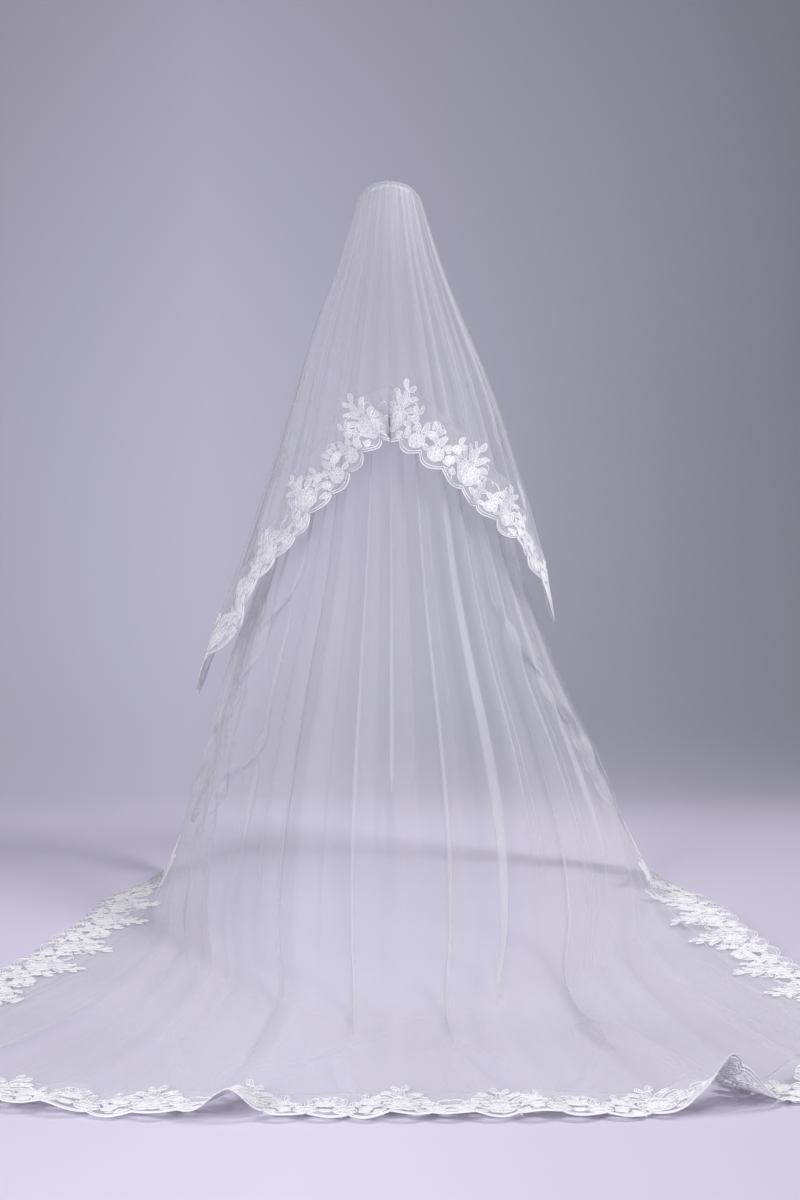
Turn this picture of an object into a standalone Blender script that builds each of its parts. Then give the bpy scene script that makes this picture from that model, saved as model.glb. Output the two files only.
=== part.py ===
"""Bridal veil in two tiers, gathered on a curved hair comb.

The origin is the middle of the gather over the comb, where the hair holds it. The wearer faces +Y, so the
train runs towards -Y, and +Z is up. Both tiers lie on one smooth base surface: an open, U-shaped section
that widens from the comb, leaves the back at the waist and spreads on the floor. Folds are ridges along
that surface, and a lace border continues each tier past its edge.
"""

import bmesh
import bpy
import numpy as np

# Driving sizes, in metres.
CROWN_HEIGHT = 1.78
CLOTH_THICKNESS = 0.0015
SEAM_GAP = 0.0010
FLOOR_CLEARANCE = 0.0012
FLOOR_SOFTNESS = 0.006
LYING_HEIGHT = 0.30

COMB_WIDTH = 0.100
COMB_BACK = 0.002
COMB_RISE = 0.014
COMB_THICKNESS = 0.0018
COMB_SPINE_DEPTH = 0.008
COMB_TOOTH_LENGTH = 0.034
COMB_TOOTH_DROP = 0.014
COMB_TEETH = 15
COMB_TOOTH_SHARE = 0.45

LONG_COLUMNS = 96
LONG_ROWS = 17
SHORT_COLUMNS = 84
SHORT_ROWS = 8
ROW_CROWDING = 1.5
LACE_WIDTH = 0.140
LACE_SCALLOP_DEPTH = 0.018
LACE_COLUMNS_A_SCALLOP = 4
LACE_SIDE_SPLITS = 4
LACE_ROWS = 2
LONG_LACE_CURL = 1.6
SHORT_LACE_CURL = 0.4
LACE_TAPER_COLUMNS = 8
LACE_END_SHARE = 0.15
LONG_LACE_FROM_ROW = 8
SHORT_LACE_FROM_ROW = 4
STEP = 1e-4

# Sections of the base surface. along is the share of the way down the centre back, left and right are
# half widths, side and back give the side edge and the centre back, flat opens the section from a round
# back (0) to a sheet spread out (1), bow squares the spread sheet's corners, and fold is the depth of the
# long tier's folds there.
SECTION_COLUMNS = ("along", "left", "right", "side_y", "side_z", "back_y", "back_z", "flat", "bow", "fold")
SECTIONS = (
    (0.000, 0.055, 0.055, 0.007, -0.0088, 0.007, 0.0021, 0.30, 2.0, 0.0000),
    (0.017, 0.068, 0.069, -0.012, -0.042, -0.042, -0.002, 0.15, 2.0, 0.0014),
    (0.045, 0.081, 0.083, -0.020, -0.110, -0.098, -0.068, 0.08, 2.0, 0.0040),
    (0.087, 0.108, 0.113, -0.008, -0.220, -0.126, -0.188, 0.05, 2.0, 0.0065),
    (0.133, 0.156, 0.162, 0.020, -0.350, -0.136, -0.325, 0.05, 2.0, 0.0090),
    (0.203, 0.208, 0.236, 0.050, -0.550, -0.150, -0.530, 0.05, 2.0, 0.0125),
    (0.282, 0.268, 0.298, 0.070, -0.780, -0.190, -0.760, 0.08, 2.0, 0.0170),
    (0.362, 0.336, 0.354, 0.075, -1.010, -0.290, -0.975, 0.12, 2.0, 0.0210),
    (0.452, 0.424, 0.442, 0.050, -1.260, -0.465, -1.180, 0.20, 2.0, 0.0260),
    (0.542, 0.484, 0.548, 0.000, -1.480, -0.665, -1.360, 0.28, 2.0, 0.0300),
    (0.632, 0.542, 0.626, -0.080, -1.665, -0.870, -1.540, 0.36, 2.0, 0.0280),
    (0.722, 0.570, 0.655, -0.270, -1.765, -1.090, -1.690, 0.50, 2.0, 0.0240),
    (0.802, 0.590, 0.680, -0.600, -1.780, -1.320, -1.768, 0.80, 2.0, 0.0200),
    (0.900, 0.710, 0.780, -1.120, -1.780, -1.595, -1.780, 0.97, 2.6, 0.0180),
    (1.000, 0.930, 0.930, -1.600, -1.780, -1.860, -1.780, 1.00, 4.0, 0.0160),
)

# Folds of the long tier. across is the place from the left edge (-1) to the right edge (1) at the comb,
# drift moves it by the hem, width is half the ridge's width, hang its depth where it hangs and lie its
# height where it lies on the floor.
FOLD_COLUMNS = ("across", "drift", "width", "hang", "lie")
LONG_FOLDS = (
    (-0.89, 0.00, 0.044, 1.00, 0.30),
    (-0.79, -0.02, 0.038, 1.20, 0.95),
    (-0.68, -0.02, 0.040, 0.85, 0.25),
    (-0.57, -0.02, 0.043, 1.25, 0.60),
    (-0.46, 0.02, 0.036, 0.80, 0.15),
    (-0.35, -0.02, 0.040, 1.20, 0.30),
    (-0.23, -0.04, 0.040, 1.10, 0.85),
    (-0.09, 0.02, 0.044, 0.90, 0.20),
    (0.04, -0.02, 0.042, 1.10, 0.40),
    (0.15, 0.02, 0.036, 0.80, 0.20),
    (0.27, 0.02, 0.043, 1.30, 0.55),
    (0.40, -0.02, 0.040, 0.95, 0.20),
    (0.53, 0.05, 0.042, 1.15, 1.00),
    (0.65, 0.02, 0.040, 0.85, 0.20),
    (0.76, 0.04, 0.040, 1.15, 1.10),
    (0.89, 0.00, 0.044, 1.00, 0.30),
)
LYING_FOLD_HEIGHT = 0.020

# Folds of the short tier, in the same columns. It never reaches the floor.
SHORT_FOLDS = (
    (-0.89, 0.00, 0.044, 1.15, 0.0),
    (-0.78, 0.02, 0.042, 1.30, 0.0),
    (-0.67, -0.02, 0.040, 0.95, 0.0),
    (-0.56, 0.02, 0.042, 1.30, 0.0),
    (-0.44, -0.02, 0.040, 0.85, 0.0),
    (-0.32, 0.01, 0.040, 1.20, 0.0),
    (-0.19, -0.02, 0.042, 1.00, 0.0),
    (-0.06, 0.03, 0.040, 1.10, 0.0),
    (0.07, -0.02, 0.042, 1.05, 0.0),
    (0.20, 0.01, 0.040, 1.20, 0.0),
    (0.33, 0.02, 0.040, 0.90, 0.0),
    (0.46, -0.01, 0.044, 1.30, 0.0),
    (0.58, 0.02, 0.040, 0.95, 0.0),
    (0.69, 0.00, 0.040, 1.25, 0.0),
    (0.80, 0.01, 0.040, 0.90, 0.0),
    (0.90, 0.00, 0.042, 1.10, 0.0),
)

# How far the short tier stands off the base surface, and how deep its folds are, along its length.
SHORT_COLUMN_NAMES = ("along", "clear", "fold")
SHORT_LAYERS = (
    (0.000, 0.0018, 0.0000),
    (0.017, 0.0100, 0.0014),
    (0.045, 0.0160, 0.0035),
    (0.087, 0.0225, 0.0060),
    (0.133, 0.0280, 0.0085),
    (0.203, 0.0380, 0.0125),
    (0.282, 0.0500, 0.0170),
    (0.362, 0.0600, 0.0200),
    (0.480, 0.0700, 0.0210),
)

# The short tier's hem seam: shortest at the centre back and longest at the two side corners.
SHORT_HEM_COLUMNS = ("across", "along")
SHORT_HEM = (
    (-1.00, 0.432),
    (-0.93, 0.430),
    (-0.85, 0.404),
    (-0.70, 0.336),
    (-0.50, 0.268),
    (-0.30, 0.222),
    (0.00, 0.198),
    (0.30, 0.218),
    (0.50, 0.248),
    (0.70, 0.284),
    (0.85, 0.326),
    (0.93, 0.361),
    (1.00, 0.366),
)

# Places along the hem where the border's outer edge lifts off the floor.
LIFT_COLUMNS = ("across", "width", "height")
LIFTS = (
    (-0.86, 0.050, 0.030),
    (-0.29, 0.040, 0.035),
    (0.66, 0.052, 0.105),
)

HEM_CORNER_DEPTH = 0.050
HEM_CORNER_SHARPNESS = 10


def columns(names, rows):
    """The table's columns as arrays, by name."""
    return dict(zip(names, np.array(rows, float).T))


SECTION = columns(SECTION_COLUMNS, SECTIONS)
SHORT_LAYER = columns(SHORT_COLUMN_NAMES, SHORT_LAYERS)
SHORT_HEM_LINE = columns(SHORT_HEM_COLUMNS, SHORT_HEM)
LIFT = columns(LIFT_COLUMNS, LIFTS)


def smooth_curve(at, knots, values):
    """A cubic Hermite curve through the knots, whose slopes come from each knot's neighbours."""
    slopes = np.gradient(values, knots)
    index = np.clip(np.searchsorted(knots, at, side="right") - 1, 0, len(knots) - 2)
    span = knots[index + 1] - knots[index]
    share = (at - knots[index]) / span
    rest = 1 - share
    return (
        (1 + 2 * share) * rest**2 * values[index]
        + share * rest**2 * span * slopes[index]
        + (3 - 2 * share) * share**2 * values[index + 1]
        - rest * share**2 * span * slopes[index + 1]
    )


def smooth_step(share):
    """0 below 0, 1 above 1, and a smooth rise between them."""
    share = np.clip(share, 0, 1)
    return share * share * (3 - 2 * share)


def above_floor(z):
    """Heights kept just above the floor, with a soft bend where they meet it."""
    above = z + CROWN_HEIGHT - FLOOR_CLEARANCE
    return (above + np.sqrt(above**2 + FLOOR_SOFTNESS**2)) / 2 + FLOOR_CLEARANCE - CROWN_HEIGHT


def floor_share(z):
    """How far cloth at this height lies rather than hangs: 0 well above the floor and 1 on it."""
    return smooth_step((LYING_HEIGHT - CROWN_HEIGHT - z) / LYING_HEIGHT)


def base_surface(across, along):
    """The sheet without folds: a U-shaped section, opened towards a flat sheet by its flat share, at each
    place along the centre back, and kept just above the floor."""
    row = {name: smooth_curve(along, SECTION["along"], SECTION[name]) for name in SECTION_COLUMNS[1:]}
    angle = across * np.pi / 2
    side = np.sin(np.clip(angle, -np.pi / 2, np.pi / 2))
    half = (row["left"] + row["right"]) / 2 + side * (row["right"] - row["left"]) / 2
    out = (1 - row["flat"]) * np.sin(angle) + row["flat"] * across
    turn = (1 - row["flat"]) * (1 - np.cos(angle)) + row["flat"] * np.abs(across) ** row["bow"]
    x = half * out
    y = row["back_y"] + (row["side_y"] - row["back_y"]) * turn
    z = row["back_z"] + (row["side_z"] - row["back_z"]) * turn
    return np.stack([x, y, above_floor(z)], axis=-1)


def surface_steps(across, along):
    """How the base surface moves for a unit step across and for one along it."""
    step_across = base_surface(across + STEP, along) - base_surface(across - STEP, along)
    step_along = base_surface(across, along + STEP) - base_surface(across, along - STEP)
    return step_across / (2 * STEP), step_along / (2 * STEP)


def outward_normal(across, along):
    """The unit normal away from the wearer, which points up where the cloth lies on the floor."""
    step_across, step_along = surface_steps(across, along)
    normal = np.cross(step_along, step_across)
    return normal / np.linalg.norm(normal, axis=-1, keepdims=True)


def fold_ridges(across, along, folds, strength):
    """The sum of the folds' ridges, each a bell curve across the sheet, times one of the table's columns."""
    table = columns(FOLD_COLUMNS, folds)
    middle = table["across"] + table["drift"] * along[..., None]
    bells = np.exp(-(((across[..., None] - middle) / table["width"]) ** 2))
    return (bells * table[strength]).sum(axis=-1)


def lift_height(across):
    """How high the border's outer edge stands off the floor, as the sum of the lifts' bell curves."""
    bells = np.exp(-(((across[..., None] - LIFT["across"]) / LIFT["width"]) ** 2))
    return (bells * LIFT["height"]).sum(axis=-1)


def long_surface(across, along):
    """The long tier: the base surface with hanging folds that turn into low ridges on the floor."""
    base = base_surface(across, along)
    lying = floor_share(base[..., 2])
    depth = smooth_curve(along, SECTION["along"], SECTION["fold"])
    hanging = depth * (fold_ridges(across, along, LONG_FOLDS, "hang") - 0.5)
    resting = LYING_FOLD_HEIGHT * fold_ridges(across, along, LONG_FOLDS, "lie")
    height = (1 - lying) * hanging + lying * resting
    return base + height[..., None] * outward_normal(across, along)


def short_surface(across, along):
    """The short tier: the base surface moved out to clear the long tier, with its own folds."""
    clear = smooth_curve(along, SHORT_LAYER["along"], SHORT_LAYER["clear"])
    depth = smooth_curve(along, SHORT_LAYER["along"], SHORT_LAYER["fold"])
    height = clear + depth * (fold_ridges(across, along, SHORT_FOLDS, "hang") - 0.5)
    return base_surface(across, along) + height[..., None] * outward_normal(across, along)


def long_hem(across):
    """Where the long tier's hem seam is along it: at its end, with rounded corners."""
    return 1 - HEM_CORNER_DEPTH * np.abs(across) ** HEM_CORNER_SHARPNESS


def short_hem(across):
    """Where the short tier's hem seam is along it."""
    return smooth_curve(across, SHORT_HEM_LINE["across"], SHORT_HEM_LINE["along"])


def fabric(name, colour, roughness):
    """A plain material of the cloth's or comb's own colour."""
    material = bpy.data.materials.new(name)
    material.use_nodes = True
    shader = material.node_tree.nodes["Principled BSDF"]
    shader.inputs["Base Color"].default_value = (*colour, 1)
    shader.inputs["Roughness"].default_value = roughness
    return material


def mapped_grid(name, columns_across, rows_along, place, thickness, material, keep=None):
    """A flat grid whose points place() moves, given each one's share of the columns and of the rows. It
    gets its thickness from Solidify, and keep() says which faces stay, from their middle's shares."""
    mesh = bpy.data.meshes.new(name)
    grid = bmesh.new()
    bmesh.ops.create_grid(grid, x_segments=columns_across, y_segments=rows_along, size=0.5)
    if keep:
        middles = [(face, face.calc_center_median()) for face in grid.faces]
        doomed = [face for face, middle in middles if not keep(middle.x + 0.5, middle.y + 0.5)]
        bmesh.ops.delete(grid, geom=doomed, context="FACES")
    shares = np.array([vertex.co[:2] for vertex in grid.verts]) + 0.5
    for vertex, point in zip(grid.verts, place(shares[:, 0], shares[:, 1])):
        vertex.co = point
    grid.to_mesh(mesh)
    grid.free()
    mesh.shade_smooth()
    mesh.materials.append(material)
    piece = bpy.data.objects.new(name, mesh)
    VEIL.objects.link(piece)
    wall = piece.modifiers.new("thickness", "SOLIDIFY")
    wall.thickness = thickness
    wall.offset = 0
    return piece


def panel_along(across, share, hem):
    """The place along a panel for a row share: rows crowd towards the comb and end at the hem seam."""
    return hem(across) * share**ROW_CROWDING


def make_panel(name, surface, hem, columns_across, rows_along, material):
    """One tier's panel from the comb to its hem seam."""

    def place(column, row):
        across = 2 * column - 1
        return surface(across, panel_along(across, row, hem))

    return mapped_grid(name, columns_across, rows_along, place, CLOTH_THICKNESS, material)


def panel_edge(hem, columns_across, rows_along, first_row):
    """The panel's edge points, down the left side, along the hem and up the right side, as (across, along)
    rows, and the finer stations between them that the lace uses."""
    rows = np.arange(first_row, rows_along) / rows_along
    hem_across = np.linspace(-1, 1, columns_across + 1)
    left = [np.full(len(rows), -1.0), panel_along(-1.0, rows, hem)]
    right = [np.full(len(rows), 1.0), panel_along(1.0, rows, hem)[::-1]]
    edge = np.concatenate([left, [hem_across, hem(hem_across)], right], axis=1).T
    side = len(rows)
    total = len(edge) - 1
    stations = np.concatenate(
        [
            np.linspace(0, side, side * LACE_SIDE_SPLITS, endpoint=False),
            np.arange(side, total - side),
            np.linspace(total - side, total, side * LACE_SIDE_SPLITS + 1),
        ]
    )
    return edge, stations


def blend_between(stations, rows):
    """Rows of numbers read at fractional stations, on straight lines between them."""
    at = np.arange(len(rows))
    return np.stack([np.interp(stations, at, column) for column in rows.T], axis=-1)


def make_lace(name, surface, hem, columns_across, rows_along, first_row, curl_in, material):
    """One tier's lace border: a ribbon that leaves the panel's edge squarely, a seam gap outside it, and
    keeps the panel's folds. It curls in where it hangs, lies level on the floor, and tapers away at its
    two upper ends. Its outer edge is scalloped."""
    edge, stations = panel_edge(hem, columns_across, rows_along, first_row)
    places = blend_between(stations, edge)
    seam = blend_between(stations, surface(edge[:, 0], edge[:, 1]))
    inward = -outward_normal(places[:, 0], places[:, 1])
    outward = np.cross(inward, np.gradient(seam, axis=0))
    outward /= np.linalg.norm(outward, axis=-1, keepdims=True)
    curl = curl_in * inward * (1 - floor_share(seam[:, 2]))[:, None]
    lift = lift_height(places[:, 0]) if hem is long_hem else np.zeros(len(places))
    count = len(stations) - 1
    index = np.arange(count + 1)
    lobes = np.abs(np.sin(np.pi * index / LACE_COLUMNS_A_SCALLOP)) ** 0.7
    taper = smooth_step(np.minimum(index, count - index) / LACE_TAPER_COLUMNS)
    width = (LACE_WIDTH + LACE_SCALLOP_DEPTH * (lobes - 1)) * (LACE_END_SHARE + (1 - LACE_END_SHARE) * taper)

    def place(column, row):
        station = np.rint(column * count).astype(int)
        reach = (SEAM_GAP + width[station] * row)[:, None]
        points = seam[station] + outward[station] * reach + curl[station] * reach**2
        points[:, 2] = np.maximum(points[:, 2] + lift[station] * row**2, FLOOR_CLEARANCE - CROWN_HEIGHT)
        return points

    return mapped_grid(name, count, LACE_ROWS, place, CLOTH_THICKNESS, material)


def make_comb(material):
    """The comb: a bent plate whose teeth point forwards and down into the hair."""
    slots = 2 * COMB_TEETH - 1
    tooth_pitch = COMB_WIDTH / (COMB_TEETH - 1 + COMB_TOOTH_SHARE)

    def keep(column, row):
        return row < 1 / 3 or int(column * slots) % 2 == 0

    def place(column, row):
        line = column * slots
        pair = np.floor(np.rint(line) / 2)
        within = np.rint(line) - 2 * pair
        x = (pair + within * COMB_TOOTH_SHARE) * tooth_pitch - COMB_WIDTH / 2
        spine = np.minimum(3 * row, 1) * COMB_SPINE_DEPTH
        tooth = np.clip(1.5 * row - 0.5, 0, 1)
        y = COMB_BACK + spine + COMB_TOOTH_LENGTH * tooth
        z = -COMB_RISE * (2 * x / COMB_WIDTH) ** 2 - COMB_TOOTH_DROP * tooth**2
        return np.stack([x, y, z], axis=-1)

    return mapped_grid("crown_comb", slots, 3, place, COMB_THICKNESS, material, keep)


for leftover in list(bpy.data.objects):
    bpy.data.objects.remove(leftover)
VEIL = bpy.data.collections.new("bridal_veil")
bpy.context.scene.collection.children.link(VEIL)

TULLE = fabric("white_tulle", (0.86, 0.85, 0.90), 0.75)
LACE = fabric("corded_lace", (0.90, 0.89, 0.93), 0.65)
CLEAR_PLASTIC = fabric("comb_plastic", (0.80, 0.80, 0.82), 0.30)

make_comb(CLEAR_PLASTIC)
make_panel("long_tier_tulle", long_surface, long_hem, LONG_COLUMNS, LONG_ROWS, TULLE)
make_lace(
    "long_tier_lace",
    long_surface,
    long_hem,
    LONG_COLUMNS,
    LONG_ROWS,
    LONG_LACE_FROM_ROW,
    LONG_LACE_CURL,
    LACE,
)
make_panel("short_tier_tulle", short_surface, short_hem, SHORT_COLUMNS, SHORT_ROWS, TULLE)
make_lace(
    "short_tier_lace",
    short_surface,
    short_hem,
    SHORT_COLUMNS,
    SHORT_ROWS,
    SHORT_LACE_FROM_ROW,
    SHORT_LACE_CURL,
    LACE,
)
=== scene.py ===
# %% [markdown]
# # A two-tier bridal veil
#
# The veil is sheer nylon tulle in two tiers, gathered on a hair comb and edged with corded lace. It hangs
# in a hollow U, as over a person's back, and its train lies on the floor. Every surface here is a formula
# of two parameters, worked out with numpy on a grid, so each fold has a place, a width and a depth.

import bpy
import numpy as np
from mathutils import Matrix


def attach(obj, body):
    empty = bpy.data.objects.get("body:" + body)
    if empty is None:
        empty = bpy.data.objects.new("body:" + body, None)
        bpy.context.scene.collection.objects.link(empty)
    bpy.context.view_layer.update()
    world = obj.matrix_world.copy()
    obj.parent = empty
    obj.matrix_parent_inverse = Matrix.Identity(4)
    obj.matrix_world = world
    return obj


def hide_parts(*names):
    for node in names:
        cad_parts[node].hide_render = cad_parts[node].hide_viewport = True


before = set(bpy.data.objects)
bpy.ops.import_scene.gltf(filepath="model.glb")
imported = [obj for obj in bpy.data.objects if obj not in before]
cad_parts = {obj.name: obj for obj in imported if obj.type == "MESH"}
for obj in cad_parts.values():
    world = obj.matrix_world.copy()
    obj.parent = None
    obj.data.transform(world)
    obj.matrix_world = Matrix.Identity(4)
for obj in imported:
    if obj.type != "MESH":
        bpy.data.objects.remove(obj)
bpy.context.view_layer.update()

# %% [markdown]
# The camera stands behind the veil at the height of the waist and looks slightly down. A long lens keeps
# the tall shape free of stretching. The focal length is worked out for a frame of 800 by 1200.

# %% The camera
CAMERA_PLACE = (0.028, -5.5, -0.58)
CAMERA_PITCH = 0.088
SENSOR_SIZE = 36.0
FRAME_HEIGHT = 1200
FOCAL_LENGTH_IN_PIXELS = 2117
camera_data = bpy.data.cameras.new("studio_camera")
camera_data.sensor_width = SENSOR_SIZE
camera_data.lens = FOCAL_LENGTH_IN_PIXELS * SENSOR_SIZE / FRAME_HEIGHT
camera = bpy.data.objects.new("studio_camera", camera_data)
camera.location = CAMERA_PLACE
camera.rotation_euler = (np.pi / 2 - CAMERA_PITCH, 0, 0)
bpy.context.scene.collection.objects.link(camera)
bpy.context.scene.camera = camera
print("lens", round(camera_data.lens, 1), "mm")

# %% [markdown]
# ## The cut and the drape
#
# Both tiers follow one base surface. Each row of the table is a section across the veil: its half widths,
# where its side edge and its centre back are, how far it is opened out flat, and how deep the folds are.
# Between the rows a smooth curve fills in. This is how a pattern maker grades a pattern between sizes.

# %% Sizes and the table of sections
CROWN_HEIGHT = 1.78
FLOOR_CLEARANCE = 0.0012
FLOOR_SOFTNESS = 0.006
LYING_HEIGHT = 0.30
SECTION_COLUMNS = ("along", "left", "right", "side_y", "side_z", "back_y", "back_z", "flat", "bow", "fold")
SECTIONS = (
    (0.000, 0.055, 0.055, 0.007, -0.0088, 0.007, 0.0021, 0.30, 2.0, 0.0000),
    (0.017, 0.068, 0.069, -0.012, -0.042, -0.042, -0.002, 0.15, 2.0, 0.0014),
    (0.045, 0.081, 0.083, -0.020, -0.110, -0.098, -0.068, 0.08, 2.0, 0.0040),
    (0.087, 0.108, 0.113, -0.008, -0.220, -0.126, -0.188, 0.05, 2.0, 0.0065),
    (0.133, 0.156, 0.162, 0.020, -0.350, -0.136, -0.325, 0.05, 2.0, 0.0090),
    (0.203, 0.208, 0.236, 0.050, -0.550, -0.150, -0.530, 0.05, 2.0, 0.0125),
    (0.282, 0.268, 0.298, 0.070, -0.780, -0.190, -0.760, 0.08, 2.0, 0.0170),
    (0.362, 0.336, 0.354, 0.075, -1.010, -0.290, -0.975, 0.12, 2.0, 0.0210),
    (0.452, 0.424, 0.442, 0.050, -1.260, -0.465, -1.180, 0.20, 2.0, 0.0260),
    (0.542, 0.484, 0.548, 0.000, -1.480, -0.665, -1.360, 0.28, 2.0, 0.0300),
    (0.632, 0.542, 0.626, -0.080, -1.665, -0.870, -1.540, 0.36, 2.0, 0.0280),
    (0.722, 0.570, 0.655, -0.270, -1.765, -1.090, -1.690, 0.50, 2.0, 0.0240),
    (0.802, 0.590, 0.680, -0.600, -1.780, -1.320, -1.768, 0.80, 2.0, 0.0200),
    (0.900, 0.710, 0.780, -1.120, -1.780, -1.595, -1.780, 0.97, 2.6, 0.0180),
    (1.000, 0.930, 0.930, -1.600, -1.780, -1.860, -1.780, 1.00, 4.0, 0.0160),
)


def columns(names, rows):
    """The table's columns as arrays, by name."""
    return dict(zip(names, np.array(rows, float).T))


SECTION = columns(SECTION_COLUMNS, SECTIONS)
print(len(SECTIONS), "sections")

# %% Smooth curves between the rows


def smooth_curve(at, knots, values):
    """A cubic Hermite curve through the knots, whose slopes come from each knot's neighbours."""
    slopes = np.gradient(values, knots)
    index = np.clip(np.searchsorted(knots, at, side="right") - 1, 0, len(knots) - 2)
    span = knots[index + 1] - knots[index]
    share = (at - knots[index]) / span
    rest = 1 - share
    return (
        (1 + 2 * share) * rest**2 * values[index]
        + share * rest**2 * span * slopes[index]
        + (3 - 2 * share) * share**2 * values[index + 1]
        - rest * share**2 * span * slopes[index + 1]
    )


def smooth_step(share):
    """0 below 0, 1 above 1, and a smooth rise between them: 3s^2 - 2s^3."""
    share = np.clip(share, 0, 1)
    return share * share * (3 - 2 * share)


def bell(distance):
    """1 at no distance and less and less on both sides of it: exp(-d^2)."""
    return np.exp(-(distance**2))


def above_floor(z):
    """Heights kept just above the floor: the mean of the height and its distance from the floor."""
    above = z + CROWN_HEIGHT - FLOOR_CLEARANCE
    return (above + np.sqrt(above**2 + FLOOR_SOFTNESS**2)) / 2 + FLOOR_CLEARANCE - CROWN_HEIGHT


def floor_share(z):
    """How far cloth at this height lies rather than hangs: 0 well above the floor and 1 on it."""
    return smooth_step((LYING_HEIGHT - CROWN_HEIGHT - z) / LYING_HEIGHT)


# %% [markdown]
# A point of the cloth has two addresses: across, from -1 at the left edge to 1 at the right edge, and
# along, from 0 at the comb to 1 at the hem. Across turns through half a circle, so a section is a U. The
# flat share opens the U, until the last rows lie on the floor like a sheet.

# %% The base surface and its normal
STEP = 1e-4


def base_surface(across, along):
    """Section curve: the sine of the angle gives x, and one minus its cosine goes from back to side."""
    row = {name: smooth_curve(along, SECTION["along"], SECTION[name]) for name in SECTION_COLUMNS[1:]}
    angle = across * np.pi / 2
    side = np.sin(np.clip(angle, -np.pi / 2, np.pi / 2))
    half = (row["left"] + row["right"]) / 2 + side * (row["right"] - row["left"]) / 2
    out = (1 - row["flat"]) * np.sin(angle) + row["flat"] * across
    turn = (1 - row["flat"]) * (1 - np.cos(angle)) + row["flat"] * np.abs(across) ** row["bow"]
    y = row["back_y"] + (row["side_y"] - row["back_y"]) * turn
    z = row["back_z"] + (row["side_z"] - row["back_z"]) * turn
    return np.stack([half * out, y, above_floor(z)], axis=-1)


def unit(vectors):
    """The same directions with length one."""
    return vectors / np.linalg.norm(vectors, axis=-1, keepdims=True)


def outward_normal(across, along):
    """The cross product of a small step along and one across: away from the wearer, and up on the floor."""
    step_across = base_surface(across + STEP, along) - base_surface(across - STEP, along)
    step_along = base_surface(across, along + STEP) - base_surface(across, along - STEP)
    return unit(np.cross(step_along, step_across))


# %% [markdown]
# ## Folds
#
# Tulle gathered on a comb falls in folds that fan out from it. Each big fold is a ridge with its own place,
# drift, width and depth, and it turns into a low ridge where the train lies down. The tables list the folds
# one by one, because folds that are spaced evenly look like a machine's.

# %% The big folds of both tiers
# Each row has across, drift, width, hang and lie.
LONG_FOLDS = (
    (-0.89, 0.00, 0.044, 1.00, 0.30),
    (-0.79, -0.02, 0.038, 1.20, 0.95),
    (-0.68, -0.02, 0.040, 0.85, 0.25),
    (-0.57, -0.02, 0.043, 1.25, 0.60),
    (-0.46, 0.02, 0.036, 0.80, 0.15),
    (-0.35, -0.02, 0.040, 1.20, 0.30),
    (-0.23, -0.04, 0.040, 1.10, 0.85),
    (-0.09, 0.02, 0.044, 0.90, 0.20),
    (0.04, -0.02, 0.042, 1.10, 0.40),
    (0.15, 0.02, 0.036, 0.80, 0.20),
    (0.27, 0.02, 0.043, 1.30, 0.55),
    (0.40, -0.02, 0.040, 0.95, 0.20),
    (0.53, 0.05, 0.042, 1.15, 1.00),
    (0.65, 0.02, 0.040, 0.85, 0.20),
    (0.76, 0.04, 0.040, 1.15, 1.10),
    (0.89, 0.00, 0.044, 1.00, 0.30),
)
SHORT_FOLDS = (
    (-0.89, 0.00, 0.044, 1.15, 0.0),
    (-0.78, 0.02, 0.042, 1.30, 0.0),
    (-0.67, -0.02, 0.040, 0.95, 0.0),
    (-0.56, 0.02, 0.042, 1.30, 0.0),
    (-0.44, -0.02, 0.040, 0.85, 0.0),
    (-0.32, 0.01, 0.040, 1.20, 0.0),
    (-0.19, -0.02, 0.042, 1.00, 0.0),
    (-0.06, 0.03, 0.040, 1.10, 0.0),
    (0.07, -0.02, 0.042, 1.05, 0.0),
    (0.20, 0.01, 0.040, 1.20, 0.0),
    (0.33, 0.02, 0.040, 0.90, 0.0),
    (0.46, -0.01, 0.044, 1.30, 0.0),
    (0.58, 0.02, 0.040, 0.95, 0.0),
    (0.69, 0.00, 0.040, 1.25, 0.0),
    (0.80, 0.01, 0.040, 0.90, 0.0),
    (0.90, 0.00, 0.042, 1.10, 0.0),
)
LYING_FOLD_HEIGHT = 0.020
FOLD_MEAN = 0.5


def fold_ridges(across, along, folds, strength):
    """The sum of the folds, each a bell curve across it times one column of the table."""
    total = np.zeros_like(across)
    for middle, drift, width, hang, lie in folds:
        size = hang if strength == "hang" else lie
        total += size * bell((across - middle - drift * along) / width)
    return total


# %% [markdown]
# Between the big folds the cloth has soft creases, narrow ridges and troughs that start and end on the
# way down. The sharp ones are where the net doubles and shows as a light streak.

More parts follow.
